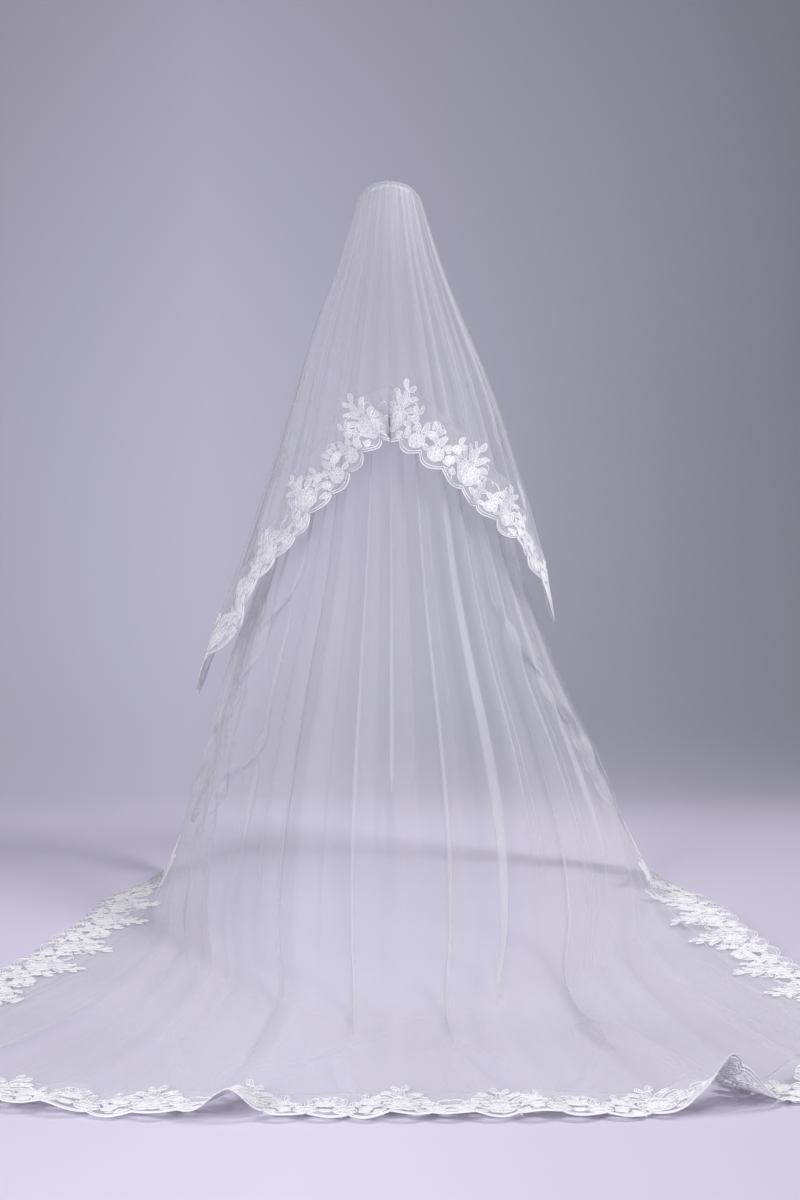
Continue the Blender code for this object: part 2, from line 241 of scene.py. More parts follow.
# %% The creases of both tiers
# Each row has across, drift, width, depth, start and end.
LONG_CREASES = (
    (-0.95, 0.00, 0.018, 0.35, 0.10, 0.62),
    (-0.84, -0.01, 0.015, -0.40, 0.05, 0.85),
    (-0.63, -0.02, 0.016, -0.35, 0.04, 0.55),
    (-0.60, 0.03, 0.011, 0.50, 0.30, 0.97),
    (-0.515, 0.00, 0.013, 0.50, 0.05, 0.90),
    (-0.40, 0.01, 0.012, -0.45, 0.10, 0.78),
    (-0.27, 0.02, 0.014, -0.45, 0.10, 0.55),
    (-0.17, -0.02, 0.011, 0.50, 0.06, 0.78),
    (-0.035, 0.02, 0.011, 0.45, 0.04, 0.70),
    (0.095, -0.01, 0.012, -0.45, 0.08, 0.66),
    (0.205, 0.01, 0.012, 0.50, 0.05, 0.58),
    (0.235, 0.03, 0.010, -0.35, 0.30, 0.85),
    (0.345, 0.02, 0.014, -0.45, 0.10, 0.60),
    (0.455, -0.01, 0.012, 0.45, 0.08, 0.72),
    (0.585, 0.02, 0.014, -0.40, 0.06, 0.60),
    (0.61, 0.01, 0.011, 0.50, 0.28, 0.86),
    (0.73, 0.03, 0.011, -0.35, 0.30, 0.92),
    (0.82, -0.01, 0.013, 0.45, 0.10, 0.62),
    (0.95, 0.00, 0.018, 0.35, 0.10, 0.56),
)
SHORT_CREASES = (
    (-0.95, 0.00, 0.018, 0.40, 0.08, 0.50),
    (-0.80, -0.02, 0.012, -0.45, 0.10, 0.40),
    (-0.62, 0.00, 0.012, -0.40, 0.06, 0.30),
    (-0.40, -0.02, 0.012, 0.45, 0.08, 0.28),
    (-0.26, 0.02, 0.010, 0.60, 0.02, 0.26),
    (-0.145, 0.00, 0.011, -0.45, 0.04, 0.22),
    (-0.02, 0.02, 0.010, 0.50, 0.03, 0.20),
    (0.115, 0.02, 0.011, -0.45, 0.05, 0.22),
    (0.265, 0.02, 0.010, 0.60, 0.02, 0.26),
    (0.375, 0.00, 0.012, -0.45, 0.06, 0.26),
    (0.52, -0.02, 0.012, 0.55, 0.04, 0.30),
    (0.63, 0.02, 0.012, -0.45, 0.06, 0.30),
    (0.85, 0.02, 0.012, 0.50, 0.06, 0.40),
    (0.955, 0.00, 0.018, 0.40, 0.08, 0.44),
)
CREASE_FADE = 0.09
CREASE_SHARE = 0.45
LYING_CREASE_SHARE = 0.30


def crease_ridges(across, along, creases):
    """The sum of the creases: a bell curve across each one, times a smooth rise after its start and a
    smooth fall before its end."""
    total = np.zeros_like(across)
    for middle, drift, width, depth, start, end in creases:
        fade = smooth_step((along - start) / CREASE_FADE) * smooth_step((end - along) / CREASE_FADE)
        total += depth * bell((across - middle - drift * along) / width) * fade
    return total


print(len(LONG_CREASES), "and", len(SHORT_CREASES), "creases")

# %% [markdown]
# The crispest lines of a veil are pleats, where the net folds over and lies three layers thick. A pleat
# slides the cloth sideways until it overlaps, and lifts the layer that comes out on top. The slide is an
# odd function of the distance from the pleat's middle, so the cloth on both sides of it stays in place.

# %% The pleats of both tiers
# Each row has across, drift, width, overlap, lean, start and end.
LONG_PLEATS = (
    (-0.745, 0.02, 0.026, 2.3, 1, 0.10, 0.80),
    (-0.455, -0.01, 0.020, 2.1, -1, 0.03, 0.66),
    (-0.31, -0.01, 0.022, 2.4, 1, 0.02, 0.96),
    (-0.115, 0.03, 0.018, 2.0, -1, 0.22, 0.90),
    (0.012, 0.00, 0.018, 2.4, 1, 0.01, 0.62),
    (0.155, 0.02, 0.020, 2.1, -1, 0.10, 0.92),
    (0.315, 0.00, 0.022, 2.4, 1, 0.02, 0.84),
    (0.50, 0.03, 0.024, 2.2, 1, 0.06, 0.96),
    (0.70, 0.00, 0.022, 2.1, -1, 0.05, 0.70),
    (0.875, 0.00, 0.024, 2.2, 1, 0.08, 0.66),
    (0.25, -2.00, 0.048, 2.2, 1, 0.33, 0.63),
    (1.02, -2.80, 0.034, 2.0, 1, 0.49, 0.67),
    (-0.30, 2.10, 0.036, 2.0, -1, 0.36, 0.61),
)
SHORT_PLEATS = (
    (-0.86, 0.02, 0.026, 2.3, 1, 0.04, 0.42),
    (-0.72, 0.02, 0.022, 2.1, -1, 0.03, 0.33),
    (-0.50, 0.02, 0.022, 2.3, 1, 0.02, 0.26),
    (-0.33, 0.00, 0.018, 2.1, -1, 0.04, 0.21),
    (-0.10, -0.02, 0.018, 2.2, 1, 0.01, 0.19),
    (0.04, 0.00, 0.016, 2.4, -1, 0.00, 0.19),
    (0.17, -0.01, 0.018, 2.1, 1, 0.02, 0.20),
    (0.42, 0.02, 0.020, 2.2, 1, 0.02, 0.23),
    (0.56, -0.02, 0.020, 2.2, -1, 0.03, 0.25),
    (0.745, 0.00, 0.024, 2.3, 1, 0.03, 0.28),
    (0.90, 0.00, 0.022, 2.1, -1, 0.06, 0.33),
)
PLEAT_FADE = 0.07
PLEAT_LIFT = 0.0035
PLEAT_LEAN = 0.8


def pleats(across, along, rows):
    """(slide across, lift): with d the distance from the pleat's middle in its widths, the slide is minus
    the overlap times d exp(-d^2), and the lift is a bell on the side that the pleat leans to. Both fade
    out before the pleat's start and end."""
    slide, lift = np.zeros_like(across), np.zeros_like(across)
    for middle, drift, width, overlap, lean, start, end in rows:
        distance = (across - middle - drift * along) / width
        fade = smooth_step((along - start) / PLEAT_FADE) * smooth_step((end - along) / PLEAT_FADE)
        slide -= overlap * width * distance * bell(distance) * fade
        lift += PLEAT_LIFT * bell(distance + PLEAT_LEAN * lean) * fade
    return slide, lift


print(len(LONG_PLEATS), "and", len(SHORT_PLEATS), "pleats")

# %% [markdown]
# Close to the comb the net is packed into many small gathers. Two waves of slightly different pitch make
# gathers of uneven size, and they fade as the cloth spreads below the head.

# %% The gathers at the comb
LONG_GATHER_TURN = 0.0
SHORT_GATHER_TURN = 2.1
GATHER_BEND = 0.35
GATHER_BEND_PITCH = 4
# Each wave has its pitch, share and phase.
GATHER_WAVES = ((17.0, 0.6, 0.0), (12.3, 0.5, 1.7), (23.9, 0.3, 0.4))
GATHER_KNOTS = np.array([0.0, 0.012, 0.05, 0.12, 0.24, 0.40, 1.0])
GATHER_DEPTHS = np.array([0.0002, 0.0007, 0.0015, 0.0018, 0.0009, 0.0, 0.0])


def gathers(across, along, turn):
    """A sum of sine waves across the cloth, times a depth that rises below the comb and then dies away."""
    depth = np.interp(along, GATHER_KNOTS, GATHER_DEPTHS)
    bend = GATHER_BEND * np.sin(GATHER_BEND_PITCH * across + turn) + turn
    waves = [share * np.sin(np.pi * pitch * across + phase + bend) for pitch, share, phase in GATHER_WAVES]
    return depth * sum(waves)


# %% [markdown]
# On the floor the train keeps a few long, low folds that cross its width. They are straight ridges given
# by their two ends on the floor, so that they can run at any angle to the hem.

# %% The low folds on the floor
# Each row has the x and y of its start, the x and y of its end, its width and its height.
FLOOR_FOLDS = (
    (0.36, -1.38, 0.60, -1.76, 0.016, 0.010),
    (0.58, -1.14, 0.80, -1.68, 0.020, 0.013),
    (0.66, -0.92, 0.82, -1.42, 0.018, 0.010),
    (-0.52, -1.30, -0.74, -1.74, 0.018, 0.010),
    (-0.62, -1.00, -0.78, -1.40, 0.016, 0.009),
    (-0.28, -1.84, 0.02, -1.50, 0.014, 0.007),
    (-0.44, -1.44, -0.36, -1.80, 0.016, 0.007),
    (0.14, -1.52, 0.24, -1.82, 0.015, 0.007),
    (-0.10, -1.60, -0.06, -1.84, 0.014, 0.006),
    (0.42, -1.60, 0.34, -1.86, 0.014, 0.008),
    (-0.60, -0.52, -0.70, -0.96, 0.018, 0.012),
    (0.66, -0.40, 0.72, -0.86, 0.018, 0.012),
)
FLOOR_FOLD_FADE = 0.3


def floor_folds(points):
    """Each ridge is a bell curve of the distance from its line, and fades towards both ends of it."""
    total = np.zeros(points.shape[:-1])
    for x_start, y_start, x_end, y_end, width, height in FLOOR_FOLDS:
        line = np.array([x_end - x_start, y_end - y_start])
        length = np.hypot(*line)
        ahead = ((points[..., 0] - x_start) * line[0] + (points[..., 1] - y_start) * line[1]) / length**2
        aside = ((points[..., 0] - x_start) * line[1] - (points[..., 1] - y_start) * line[0]) / length
        ends = smooth_step(ahead / FLOOR_FOLD_FADE) * smooth_step((1 - ahead) / FLOOR_FOLD_FADE)
        total += height * bell(aside / width) * ends
    return total


# %% [markdown]
# ## The two panels
#
# A tier is the base surface moved out along its normal by its folds. The short tier also stands clear of
# the long one, and its hem is shortest at the centre back and longest at the two corners.

# %% The surfaces of the two tiers
SHORT_LAYER_COLUMNS = ("along", "clear", "fold")
SHORT_LAYERS = (
    (0.000, 0.0018, 0.0000),
    (0.017, 0.0100, 0.0014),
    (0.045, 0.0160, 0.0035),
    (0.087, 0.0225, 0.0060),
    (0.133, 0.0280, 0.0085),
    (0.203, 0.0380, 0.0125),
    (0.282, 0.0500, 0.0170),
    (0.362, 0.0600, 0.0200),
    (0.480, 0.0700, 0.0210),
)
SHORT_HEM_COLUMNS = ("across", "along")
SHORT_HEM = (
    (-1.00, 0.432),
    (-0.93, 0.430),
    (-0.85, 0.404),
    (-0.70, 0.336),
    (-0.50, 0.268),
    (-0.30, 0.222),
    (0.00, 0.198),
    (0.30, 0.218),
    (0.50, 0.248),
    (0.70, 0.284),
    (0.85, 0.326),
    (0.93, 0.361),
    (1.00, 0.366),
)
HEM_CORNER_DEPTH = 0.050
HEM_CORNER_SHARPNESS = 10
SHORT_LAYER = columns(SHORT_LAYER_COLUMNS, SHORT_LAYERS)
SHORT_HEM_LINE = columns(SHORT_HEM_COLUMNS, SHORT_HEM)


def long_surface(across, along):
    """The base surface with hanging folds, which turn into low ridges on the floor."""
    slide, lift = pleats(across, along, LONG_PLEATS)
    base = base_surface(across + slide, along)
    lying = floor_share(base[..., 2])
    depth = smooth_curve(along, SECTION["along"], SECTION["fold"])
    creases = crease_ridges(across, along, LONG_CREASES)
    hanging = depth * (fold_ridges(across, along, LONG_FOLDS, "hang") - FOLD_MEAN + CREASE_SHARE * creases)
    resting = fold_ridges(across, along, LONG_FOLDS, "lie") + LYING_CREASE_SHARE * np.abs(creases)
    resting = LYING_FOLD_HEIGHT * resting + floor_folds(base)
    height = (1 - lying) * hanging + lying * resting + gathers(across, along, LONG_GATHER_TURN) + lift
    return base + height[..., None] * outward_normal(across + slide, along)


def short_surface(across, along):
    """The base surface moved out to clear the long tier, with its own folds."""
    slide, lift = pleats(across, along, SHORT_PLEATS)
    clear = smooth_curve(along, SHORT_LAYER["along"], SHORT_LAYER["clear"])
    depth = smooth_curve(along, SHORT_LAYER["along"], SHORT_LAYER["fold"])
    creases = crease_ridges(across, along, SHORT_CREASES)
    folds = fold_ridges(across, along, SHORT_FOLDS, "hang") - FOLD_MEAN + CREASE_SHARE * creases
    height = clear + depth * folds + gathers(across, along, SHORT_GATHER_TURN) + lift
    return base_surface(across + slide, along) + height[..., None] * outward_normal(across + slide, along)


def long_hem(across):
    """Where the long tier's hem seam is along it: at its end, with rounded corners."""
    return 1 - HEM_CORNER_DEPTH * np.abs(across) ** HEM_CORNER_SHARPNESS


def short_hem(across):
    """Where the short tier's hem seam is along it."""
    return smooth_curve(across, SHORT_HEM_LINE["across"], SHORT_HEM_LINE["along"])


# %% [markdown]
# A surface becomes a mesh when its grid of points is joined into quads. The helper writes whole arrays
# into the mesh, and it can join the last column or row to the first, which closes a tube or a ring.

# %% A mesh from grids of points


def grid_quads(rows, across, wrap_rows=False, wrap_across=False):
    """Corner numbers of the quads of a grid, numbered row by row."""
    row = np.arange(rows if wrap_rows else rows - 1)[:, None]
    column = np.arange(across if wrap_across else across - 1)[None, :]
    next_row = (row + 1) % rows
    next_column = (column + 1) % across
    quads = [row * across + column, row * across + next_column]
    quads += [next_row * across + next_column, next_row * across + column]
    return np.stack(np.broadcast_arrays(*quads), axis=-1).reshape(-1, 4)


def piece_from_arrays(name, points, quads, cut, material):
    """One object from its points, its quads and each point's place on the flat cut, in metres."""
    points, cut = np.reshape(points, (-1, 3)), np.reshape(cut, (-1, 2))
    mesh = bpy.data.meshes.new(name)
    mesh.vertices.add(len(points))
    mesh.vertices.foreach_set("co", np.asarray(points, np.float32).ravel())
    mesh.loops.add(quads.size)
    mesh.loops.foreach_set("vertex_index", quads.ravel().astype(np.int32))
    mesh.polygons.add(len(quads))
    mesh.polygons.foreach_set("loop_start", np.arange(0, quads.size, 4, dtype=np.int32))
    mesh.polygons.foreach_set("loop_total", np.full(len(quads), 4, np.int32))
    mesh.update(calc_edges=True)
    layer = mesh.uv_layers.new(name="flat_cut")
    layer.data.foreach_set("uv", np.asarray(cut, np.float32)[quads.ravel()].ravel())
    mesh.validate()
    mesh.shade_smooth()
    mesh.materials.append(material)
    piece = bpy.data.objects.new(name, mesh)
    bpy.context.scene.collection.objects.link(piece)
    print(name, len(quads) * 2, "triangles")
    return piece


# %% [markdown]
# ## The finishes
#
# Tulle is a net of tiny six-sided holes. Three sets of waves at 60 degrees to one another add up to round
# peaks on a triangular lattice, and the low ground between the peaks is exactly such a net. The group
# below turns that sum into a mask of threads, and every cloth here uses it with its own hole size.

# %% The net as a node group
NET_LOW = -1.5


def feed(tree, node, inputs):
    """Each input, by name or number, is joined to a socket or set to a value."""
    for key, value in inputs.items():
        if isinstance(value, bpy.types.NodeSocket):
            tree.links.new(value, node.inputs[key])
        else:
            node.inputs[key].default_value = value


def add_node(tree, kind, place, inputs=None, **settings):
    """A new node at a place in the editor, with its properties set and its inputs fed."""
    node = tree.nodes.new(kind)
    node.location = place
    for key, value in settings.items():
        setattr(node, key, value)
    feed(tree, node, inputs or {})
    return node


def math_node(tree, operation, place, *values):
    """A Math node's result. Its inputs are sockets or numbers."""
    return add_node(tree, "ShaderNodeMath", place, dict(enumerate(values)), operation=operation).outputs[0]


def map_range(tree, place, value, ends, interpolation="LINEAR"):
    """A Map Range node's result. The ends of both ranges that differ from 0 and 1 are given by name."""
    inputs = {"Value": value, **ends}
    node = add_node(tree, "ShaderNodeMapRange", place, inputs, interpolation_type=interpolation)
    return node.outputs["Result"]


def new_group(name, inputs, output):
    """A node group with named inputs, where a vector has no value and a number has one, and one output."""
    group = bpy.data.node_groups.new(name, "ShaderNodeTree")
    for socket_name, value in inputs.items():
        kind = "NodeSocketVector" if value is None else "NodeSocketFloat"
        socket = group.interface.new_socket(socket_name, in_out="INPUT", socket_type=kind)
        if value is not None:
            socket.default_value = value
    group.interface.new_socket(output, in_out="OUTPUT", socket_type="NodeSocketFloat")
    return group


def make_net_group():
    """Threads where the sum of three cosine waves at 0, 60 and 120 degrees is below the thread level."""
    net = new_group("hexagon_net", {"Cut": None, "Holes per metre": 600.0, "Thread level": -0.9}, "Thread")
    start = add_node(net, "NodeGroupInput", (-900, 0)).outputs
    inputs = {0: start["Cut"], "Scale": start["Holes per metre"]}
    scaled = add_node(net, "ShaderNodeVectorMath", (-700, 0), inputs, operation="SCALE")
    waves = []
    for number, turn in enumerate((0, np.pi / 3, 2 * np.pi / 3)):
        height = 200 - 200 * number
        inputs = {0: scaled.outputs[0], 1: (2 * np.pi * np.cos(turn), 2 * np.pi * np.sin(turn), 0)}
        dot = add_node(net, "ShaderNodeVectorMath", (-500, height), inputs, operation="DOT_PRODUCT")
        waves.append(math_node(net, "COSINE", (-300, height), dot.outputs["Value"]))
    pair = math_node(net, "ADD", (-100, 100), waves[0], waves[1])
    total = math_node(net, "ADD", (50, 0), pair, waves[2])
    ends = {"From Min": NET_LOW, "From Max": start["Thread level"], "To Min": 1.0, "To Max": 0.0}
    thread = map_range(net, (250, 0), total, ends, "SMOOTHSTEP")
    add_node(net, "NodeGroupOutput", (500, 0), {"Thread": thread})
    return net


HEXAGON_NET = make_net_group()

# %% [markdown]
# New net is never quite even: a slow variation in how thick it looks keeps it from being one flat tint.
# The second group is a soft noise in object space, remapped to a small range, which shades the colours.

# %% Slow variation as a node group
PATCHES_PER_METRE = 3.0
NOISE_LOW = 0.3
NOISE_HIGH = 0.7


def make_variation_group():
    """Soft noise in object space, stretched to run between a low and a high value."""
    inputs = {"Place": None, "Patches per metre": PATCHES_PER_METRE, "Low": 0.9, "High": 1.0}
    group = new_group("slow_variation", inputs, "Value")
    start = add_node(group, "NodeGroupInput", (-600, 0)).outputs
    inputs = {"Vector": start["Place"], "Scale": start["Patches per metre"], "Detail": 0.0}
    noise = add_node(group, "ShaderNodeTexNoise", (-350, 0), inputs)
    ends = {"From Min": NOISE_LOW, "From Max": NOISE_HIGH, "To Min": start["Low"], "To Max": start["High"]}
    stretched = map_range(group, (0, 0), noise.outputs["Fac"], ends)
    add_node(group, "NodeGroupOutput", (400, 0), {"Value": stretched})
    return group


SLOW_VARIATION = make_variation_group()

# %% [markdown]
# The cloth's cover decides how much shows through it. A net seen at a slant covers more, because its
# threads hide the holes, and that is why the sides of a fold look whiter than its crest. Layer Weight
# gives that angle.

# %% A net cloth
COMMON_FINISH = {"Sheen Roughness": 0.4, "Specular IOR Level": 0.3}
NET_ROUGHNESS = 0.55
NET_SHEEN = 0.25
SLANT_POWER = 2.2
SLANT_COVER = 0.68


def new_material(name, roughness, sheen):
    """A material with its shader, whose constant finish is set on the shader itself."""
    material = bpy.data.materials.new(name)
    material.use_nodes = True
    shader = material.node_tree.nodes["Principled BSDF"]
    feed(material.node_tree, shader, COMMON_FINISH | {"Roughness": roughness, "Sheen Weight": sheen})
    return material, material.node_tree, shader


def tint_by(tree, value, dark, light, place):
    """A colour between two tints, by a value from 0 to 1."""
    inputs = {"Factor": value, "A": (*dark, 1), "B": (*light, 1)}
    return add_node(tree, "ShaderNodeMix", place, inputs, data_type="RGBA").outputs["Result"]


def variation(tree, place, surface_point, low, patches=PATCHES_PER_METRE):
    """The slow variation's value at a point of the surface, from a low value to 1."""
    node = add_node(tree, "ShaderNodeGroup", place, node_tree=SLOW_VARIATION)
    feed(tree, node, {"Place": surface_point, "Patches per metre": patches, "Low": low})
    return node.outputs["Value"]


def net_cloth(name, dark, light, holes, level, hole_cover):
    """Sheer cloth: cover is the hole's own cover, raised to one on a thread, and raised again by how far
    the surface turns away from the eye."""
    material, tree, shader = new_material(name, NET_ROUGHNESS, NET_SHEEN)
    cut = add_node(tree, "ShaderNodeTexCoord", (-1100, 200)).outputs
    net = add_node(tree, "ShaderNodeGroup", (-850, 200), node_tree=HEXAGON_NET)
    feed(tree, net, {"Cut": cut["UV"], "Holes per metre": holes, "Thread level": level})
    drift = variation(tree, (-850, -100), cut["Object"], 0.0)
    colour = tint_by(tree, drift, dark, light, (-300, 400))
    facing = add_node(tree, "ShaderNodeLayerWeight", (-850, -400), {"Blend": 0.5})
    slant = math_node(tree, "POWER", (-650, -400), facing.outputs["Facing"], SLANT_POWER)
    slant = math_node(tree, "MULTIPLY", (-500, -400), slant, SLANT_COVER)
    thread = math_node(tree, "MULTIPLY", (-650, 100), net.outputs["Thread"], 1 - hole_cover)
    clear = math_node(tree, "SUBTRACT", (-350, 0), 1 - hole_cover, thread)
    open_share = math_node(tree, "SUBTRACT", (-350, -400), 1.0, slant)
    through = math_node(tree, "MULTIPLY", (-50, -100), clear, open_share)
    cover = math_node(tree, "SUBTRACT", (100, -100), 1.0, through)
    feed(tree, shader, {"Base Color": colour, "Alpha": cover})
    return material


# Each has its dark and light tints, holes a metre, thread level and hole's cover.
TULLE = net_cloth("white_tulle", (0.58, 0.58, 0.62), (0.66, 0.66, 0.71), 560, -0.85, 0.04)
LACE_GROUND = net_cloth("lace_net", (0.64, 0.64, 0.68), (0.72, 0.72, 0.77), 480, -0.82, 0.05)

# %% [markdown]
# The lace's flowers are thread: a raised cord round each shape, and flat stitching inside it. Both are
# worked in mercerised thread with a soft gleam. Fine waves across the cord read as its twist, and waves
# along a petal as its satin stitches.

# %% The threads
COVER_SPREAD = 0.55
THREAD_PATCHES = 14.0
STITCH_HEIGHT = 0.0004
STITCH_STRENGTH = 0.6


def thread_cloth(name, dark, light, ridges, roughness, sheen, cover=1.0):
    """Thread: a wave along the flat cut gives the stitches their height, and darkens the gaps between them as
    painted shade.
    """
    material, tree, shader = new_material(name, roughness, sheen)
    cut = add_node(tree, "ShaderNodeTexCoord", (-1000, 0)).outputs
    inputs = {"Vector": cut["UV"], "Scale": ridges, "Distortion": 1.5, "Detail": 1.0}
    wave = add_node(tree, "ShaderNodeTexWave", (-750, 100), inputs, bands_direction="DIAGONAL")
    stitches = wave.outputs["Fac"]
    drift = variation(tree, (-750, -250), cut["Object"], 0.5, THREAD_PATCHES)
    # Colour: painted shade in the gaps between stitches, times a slow random drift in tone.
    shade = math_node(tree, "MULTIPLY", (-500, 0), stitches, drift)
    inputs = {"Height": stitches, "Distance": STITCH_HEIGHT, "Strength": STITCH_STRENGTH}
    bump = add_node(tree, "ShaderNodeBump", (-300, -400), inputs)
    look = {"Base Color": tint_by(tree, shade, dark, light, (-300, 200)), "Normal": bump.outputs["Normal"]}
    if cover < 1:
        ends = {"To Min": cover, "To Max": cover + COVER_SPREAD}
        look["Alpha"] = map_range(tree, (-300, -100), stitches, ends)
    feed(tree, shader, look)
    return material


# Each has its dark and light tints, ridges, roughness and sheen, and the clothwork its cover too.
CORD_THREAD = thread_cloth("lace_cord", (0.82, 0.82, 0.85), (0.93, 0.93, 0.95), 180, 0.45, 0.35)
SATIN_THREAD = thread_cloth("lace_clothwork", (0.82, 0.82, 0.85), (0.92, 0.92, 0.94), 240, 0.50, 0.25, 0.22)
SEWING_THREAD = thread_cloth("sewing_thread", (0.78, 0.78, 0.84), (0.93, 0.93, 0.96), 300, 0.55, 0.20)
BINDING_CLOTH = thread_cloth("satin_binding", (0.82, 0.82, 0.87), (0.95, 0.95, 0.98), 150, 0.35, 0.25)

# %% [markdown]
# ## Making the panels
#
# The grid is finer than the smallest crease. Rows crowd towards the comb, where the cloth bends most. The
# flat cut gives every point its place on the uncut net, so the holes keep their size down the cloth.

# %% The two tulle panels
LONG_CUT = (2.70, 2.75)
SHORT_CUT = (1.45, 1.20)
CUT_LENGTH = 2.75
ROW_CROWDING = 1.3
LONG_QUADS = (500, 190)
SHORT_QUADS = (440, 110)


def make_panel(name, surface, hem, quads_each_way, cut_width):
    """One tier's panel from the comb to its hem seam, as a single layer of net."""
    columns_across, rows_along = quads_each_way
    across = np.linspace(-1, 1, columns_across + 1)[None, :]
    share = np.linspace(0, 1, rows_along + 1)[:, None] ** ROW_CROWDING
    along = hem(across) * share
    across = np.broadcast_to(across, along.shape)
    cut = np.stack([across * cut_width / 2, -along * CUT_LENGTH], axis=-1)
    quads = grid_quads(rows_along + 1, columns_across + 1)[:, ::-1]
    return piece_from_arrays(name, surface(across, along), quads, cut, TULLE)


long_tulle = make_panel("long_tulle", long_surface, long_hem, LONG_QUADS, LONG_CUT[0])
short_tulle = make_panel("short_tulle", short_surface, short_hem, SHORT_QUADS, SHORT_CUT[0])

# %% [markdown]
# ## The lace border
#
# The border is a ribbon sewn along the edge. A line of stations runs along the seam, and each station
# knows which way is outwards. A point of the ribbon is then given by how far it is along the seam, how
# far out, and how high above the net. The same map carries the net, the flowers and the stitches.

# %% The ribbon along an edge
LACE_WIDTH = 0.140
SCALLOP_DEPTH = 0.018
SCALLOP_PITCH = 0.0725
STATION_PITCH = 0.003
TANGENT_REACH = 7
RIBBON_OVERREACH = 1.2
LOBE_POWER = 0.7
TAPER_LENGTH = 0.30
END_SHARE = 0.15
LONG_CURL = 1.6
SHORT_CURL = 0.4
LONG_RUFFLED = 1.0
SHORT_RUFFLED = 2.5
LONG_LACE_FROM = (0.307, 0.307)
SHORT_LACE_FROM = (0.153, 0.129)
# Each row has across, width and height.
LIFTS = (
    (-0.86, 0.050, 0.030),
    (-0.29, 0.040, 0.035),
    (0.615, 0.040, 0.088),
)
FLOOR_RUFFLE = 0.006
# Each wave has its waves a metre, height and phase.
RUFFLE_WAVES = ((2.6, 0.0035, 0.3), (4.3, 0.0025, 1.9), (7.7, 0.0012, 0.8))


def border_edge(hem, start_left, start_right, count=4000):
    """(across, along) down the left side, along the hem and up the right side."""
    side = count // 3
    hem_across = np.linspace(-1, 1, count)
    left = np.stack([np.full(side, -1.0), np.linspace(start_left, hem(np.array(-1.0)), side, endpoint=False)])
    right = np.stack([np.full(side, 1.0), np.linspace(hem(np.array(1.0)), start_right, side)])
    return np.concatenate([left, np.stack([hem_across, hem(hem_across)]), right[:, 1:]], axis=1)


def resample(at, knots, rows):
    """Columns of numbers read at new places along their knots."""
    return np.stack([np.interp(at, knots, column) for column in rows], axis=-1)


def smoothed(rows):
    """A running mean over a few stations."""
    padded = np.pad(rows, ((TANGENT_REACH, TANGENT_REACH), (0, 0)), "edge")
    total = np.cumsum(np.pad(padded, ((1, 0), (0, 0))), axis=0)
    width = 2 * TANGENT_REACH + 1
    return (total[width:] - total[:-width]) / width


def steps_inward(surface, places, outward):
    """The steps across and along that move a metre into the panel from the seam: the least squares
    solution for minus the outward direction, with the surface's own steps as the two axes."""
    across, along = places[:, 0], places[:, 1]
    axis_across = (surface(across + STEP, along) - surface(across - STEP, along)) / (2 * STEP)
    axis_along = (surface(across, along + STEP) - surface(across, along - STEP)) / (2 * STEP)
    axes = np.stack([axis_across, axis_along], axis=-1)
    turned_axes = np.swapaxes(axes, 1, 2)
    steps = np.linalg.solve(turned_axes @ axes, turned_axes @ -outward[..., None])[..., 0]
    return smoothed(steps)


def make_ribbon(surface, hem, starts, curl_in, lifted, ruffled):
    """The stations every 3 mm along the seam, with each one's outward and upward directions."""
    edge = border_edge(hem, *starts)
    line = surface(edge[0], edge[1])
    gone = np.concatenate([[0], np.cumsum(np.linalg.norm(np.diff(line, axis=0), axis=1))])
    count = int(gone[-1] / STATION_PITCH)
    at = np.linspace(0, gone[-1], count + 1)
    places = resample(at, gone, edge)
    seam = resample(at, gone, line.T)
    up = outward_normal(places[:, 0], places[:, 1])
    padded = np.pad(seam, ((TANGENT_REACH, TANGENT_REACH), (0, 0)), "edge")
    tangent = padded[2 * TANGENT_REACH :] - padded[: -2 * TANGENT_REACH]
    outward = unit(np.cross(-up, tangent))
    lying = floor_share(seam[:, 2])
    lift = np.zeros(count + 1)
    for across, width, height in LIFTS if lifted else ():
        lift += height * bell((places[:, 0] - across) / width)
    ruffle = sum(size * np.sin(2 * np.pi * waves * at + phase) for waves, size, phase in RUFFLE_WAVES)
    taper = smooth_step(np.minimum(at, gone[-1] - at) / TAPER_LENGTH)
    return {
        "at": at,
        "surface": surface,
        "places": places,
        "inward": steps_inward(surface, places, outward),
        "length": gone[-1],
        "seam": seam,
        "up": up,
        "outward": outward,
        "curl": -curl_in * up * (1 - lying)[:, None],
        "ruffle": ruffle * ruffled + FLOOR_RUFFLE * lying,
        "lift": lift,
        "size": END_SHARE + (1 - END_SHARE) * taper,
    }


